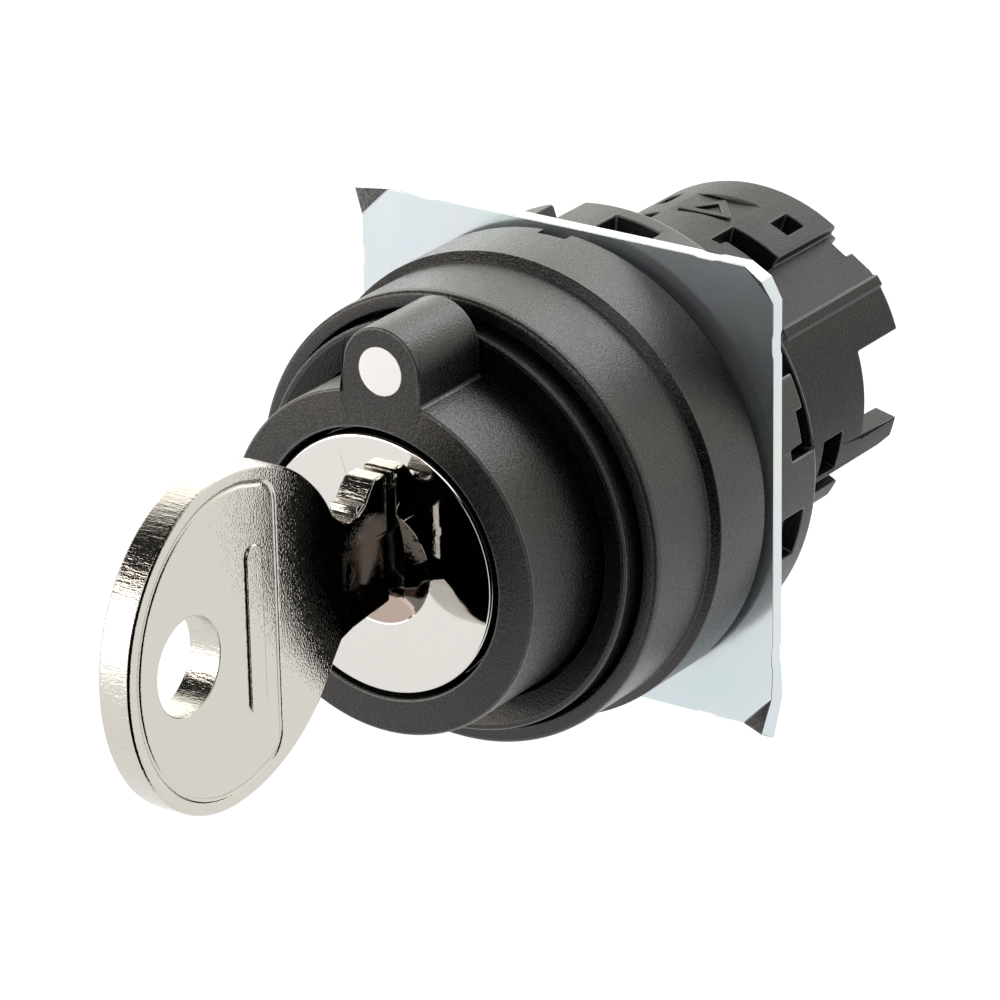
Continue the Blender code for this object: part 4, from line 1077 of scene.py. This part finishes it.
def make_inner_pieces():
    """Finish the pieces inside the switch, which show through its openings."""
    refine("lock_housing", "operator_body", metal("housing_zinc", (0.47, 0.47, 0.46), 0.42),
           "housing_zinc")
    refine("plug_core", "rotor", metal("core_zinc", (0.56, 0.55, 0.53), 0.34), "core_zinc")
    refine("shaft_seal", "operator_body", rubber("seal_rubber", (0.02, 0.02, 0.02)), "seal_rubber")
    refine("pusher_carrier", "operator_body",
           moulded("carrier_plastic", (0.01, 0.01, 0.01), 0.5), "carrier_plastic", 0.1)
    refine("latch_leaf", "operator_body",
           metal("leaf_steel", (0.66, 0.70, 0.76), 0.22, 0.2, 0.004, (1.0, 0.1, 1.0)), "leaf_steel")
    refine("detent_cap", "operator_body", metal("cap_brass", (0.72, 0.56, 0.29), 0.35), "cap_brass")
    refine("detent_spring", "operator_body", metal("spring_steel", (0.56, 0.56, 0.57), 0.3),
           "spring_steel", 0.0)
    refine("detent_ball", "detent_body", metal("ball_steel", (0.72, 0.72, 0.73), 0.12),
           "ball_steel", 0.0)
    refine("plug_clip", "rotor", metal("clip_steel", (0.5, 0.5, 0.51), 0.3), "clip_steel")
    natural = moulded("cam_plastic", (0.72, 0.70, 0.64), 0.42, 0.2, 0.006)
    refine("drive_cam", "rotor", natural, "cam_plastic")
    refine("cam_screw", "rotor", metal("screw_steel", (0.62, 0.62, 0.6), 0.28), "screw_steel")
    brass = metal("wafer_brass", (0.74, 0.57, 0.27), 0.3, 0.25, 0.004)
    for i in range(len(BITTING_DEPTHS)):
        refine("wafer_%d" % (i + 1), "wafer_body_%d" % (i + 1), brass, "wafer_brass", 0.04)
    pusher = moulded("pusher_plastic", (0.68, 0.67, 0.62), 0.4, 0.2, 0.006)
    for side in ("right", "left"):
        refine("pusher_" + side, "pusher_body_" + side, pusher, "pusher_plastic", 0.12)


# ---------------------------------------------------------------- studio

def sheet(name, x_range, y_range, z):
    """Return a flat rectangle that lies level at a height."""
    (left, right), (front, rear) = x_range, y_range
    bm = bmesh.new()
    bm.faces.new([bm.verts.new((x, y, z)) for x, y in
                  ((left, front), (right, front), (right, rear), (left, rear))])
    return piece(name, bm)


def make_floor():
    """Plain white floor that runs past the view on every side."""
    floor = sheet("floor", (-FLOOR_HALF, FLOOR_HALF), (-FLOOR_HALF, FLOOR_HALF), FLOOR_Z)
    mat = bpy.data.materials.new("floor_white")
    mat.use_nodes = True
    shader = mat.node_tree.nodes["Principled BSDF"]
    shader.inputs["Base Color"].default_value = FLOOR_COLOUR
    shader.inputs["Roughness"].default_value = 0.9
    shader.inputs["Emission Color"].default_value = (1.0, 1.0, 1.0, 1.0)
    shader.inputs["Emission Strength"].default_value = FLOOR_GLOW
    floor.data.materials.append(mat)


def softbox(name, place, aim, size, radiance, colour):
    """Rectangular area light at a place, aimed at a point; all in millimetres."""
    light = bpy.data.lights.new(name, 'AREA')
    light.shape = 'RECTANGLE'
    light.size, light.size_y = size[0] * MM, size[1] * MM
    light.energy = radiance * pi * light.size * light.size_y
    light.color = colour
    obj = bpy.data.objects.new(name, light)
    bpy.context.scene.collection.objects.link(obj)
    start = Vector(place) * MM
    direction = Vector(aim) * MM - start
    obj.location = start
    obj.rotation_euler = direction.to_track_quat('-Z', 'Y').to_euler()


def make_world():
    """Studio room: a bright wall behind, dimmer to the right and overhead, and dark in front."""
    world = bpy.data.worlds.new("studio")
    bpy.context.scene.world = world
    world.use_nodes = True
    tree = world.node_tree
    coords = tree.nodes.new("ShaderNodeTexCoord")
    split = tree.nodes.new("ShaderNodeSeparateXYZ")
    tree.links.new(coords.outputs["Generated"], split.inputs["Vector"])

    def slope(axis, limits, values):
        node = tree.nodes.new("ShaderNodeMapRange")
        node.interpolation_type = 'SMOOTHSTEP'
        node.inputs["From Min"].default_value, node.inputs["From Max"].default_value = limits
        node.inputs["To Min"].default_value, node.inputs["To Max"].default_value = values
        tree.links.new(split.outputs[axis], node.inputs["Value"])
        return node.outputs["Result"]

    def product(first, second):
        node = tree.nodes.new("ShaderNodeMath")
        node.operation = 'MULTIPLY'
        tree.links.new(first, node.inputs[0])
        tree.links.new(second, node.inputs[1])
        return node.outputs["Value"]

    wall = product(product(slope("X", *WALL_ACROSS), slope("Y", *WALL_DEPTH)),
                   slope("Z", *WALL_RISE))
    back = tree.nodes["Background"]
    tree.links.new(wall, back.inputs["Strength"])
    back.inputs["Color"].default_value = ROOM_COLOUR


def make_lights():
    """Soft studio light from the front left, the front above and the rear above."""
    for name, direction, size, radiance, colour in SOFTBOXES:
        place = Vector(direction).normalized() * SOFTBOX_DISTANCE
        softbox(name, place, SOFTBOX_AIM, size, radiance, colour)


def make_card():
    """Black card in front of the switch and to its right: it shows in mirrors, and not by itself."""
    card = sheet("black_card", CARD_X, CARD_Y, FLOOR_Z + 1.0)
    mat = bpy.data.materials.new("card_black")
    mat.use_nodes = True
    shader = mat.node_tree.nodes["Principled BSDF"]
    shader.inputs["Base Color"].default_value = (0.0, 0.0, 0.0, 1.0)
    shader.inputs["Specular IOR Level"].default_value = 0.0
    card.data.materials.append(mat)
    card.visible_camera = False


def make_camera():
    """Camera at the view's own angle, with its slight roll."""
    azimuth, elevation, roll = (radians(a) for a in (VIEW_AZIMUTH, VIEW_ELEVATION, VIEW_ROLL))
    back = Vector((sin(azimuth) * cos(elevation), -cos(azimuth) * cos(elevation), sin(elevation)))
    right = (-back).cross(Vector((0.0, 0.0, 1.0))).normalized()
    up = right.cross(-back)
    across = right * cos(roll) + up * sin(roll)
    upward = up * cos(roll) - right * sin(roll)
    data = bpy.data.cameras.new("camera")
    data.sensor_width = SENSOR
    data.lens = VIEW_LENS
    data.clip_start = 0.01
    data.clip_end = 20.0
    camera = bpy.data.objects.new("camera", data)
    bpy.context.scene.collection.objects.link(camera)
    turn = Matrix((across, upward, back)).transposed().to_4x4()
    camera.matrix_world = Matrix.Translation(Vector(VIEW_FROM) * MM) @ turn
    bpy.context.scene.camera = camera


# ---------------------------------------------------------------- assembly

def main():
    """Build the finished switch and its studio."""
    make_camera()
    make_floor()
    make_card()
    make_world()
    make_lights()
    bpy.context.scene.view_settings.view_transform = 'Standard'
    make_bezel(moulded("bezel_plastic", (0.003, 0.003, 0.0029), 0.29, depth=0.04, edge_highlight=0.02))
    make_guide_ring(moulded("guide_ring_plastic", (0.002, 0.002, 0.002), 0.28, speck=0.02,
                            edge_highlight=0.06))
    make_gasket(rubber("gasket_rubber", (0.018, 0.018, 0.018)))
    make_sleeve(moulded("sleeve_plastic", (0.003, 0.0028, 0.0025), 0.28, 0.15, 0.04, edge_highlight=0.08))
    make_index_dot(paint_white("dot_white"))
    make_plug_face(chrome("face_chrome"))
    nickel = key_nickel("key_nickel")
    make_key(nickel)
    make_key_bars(nickel)
    make_lock_plate(plate_zinc("plate_zinc"))
    make_ring_nut(moulded("nut_plastic", (0.004, 0.004, 0.0038), 0.36))
    black = moulded("case_plastic", (0.004, 0.004, 0.0038), 0.38, gloss=0.2)
    make_case(black)
    make_mark(black)
    make_thread(black)
    make_inner_pieces()


main()
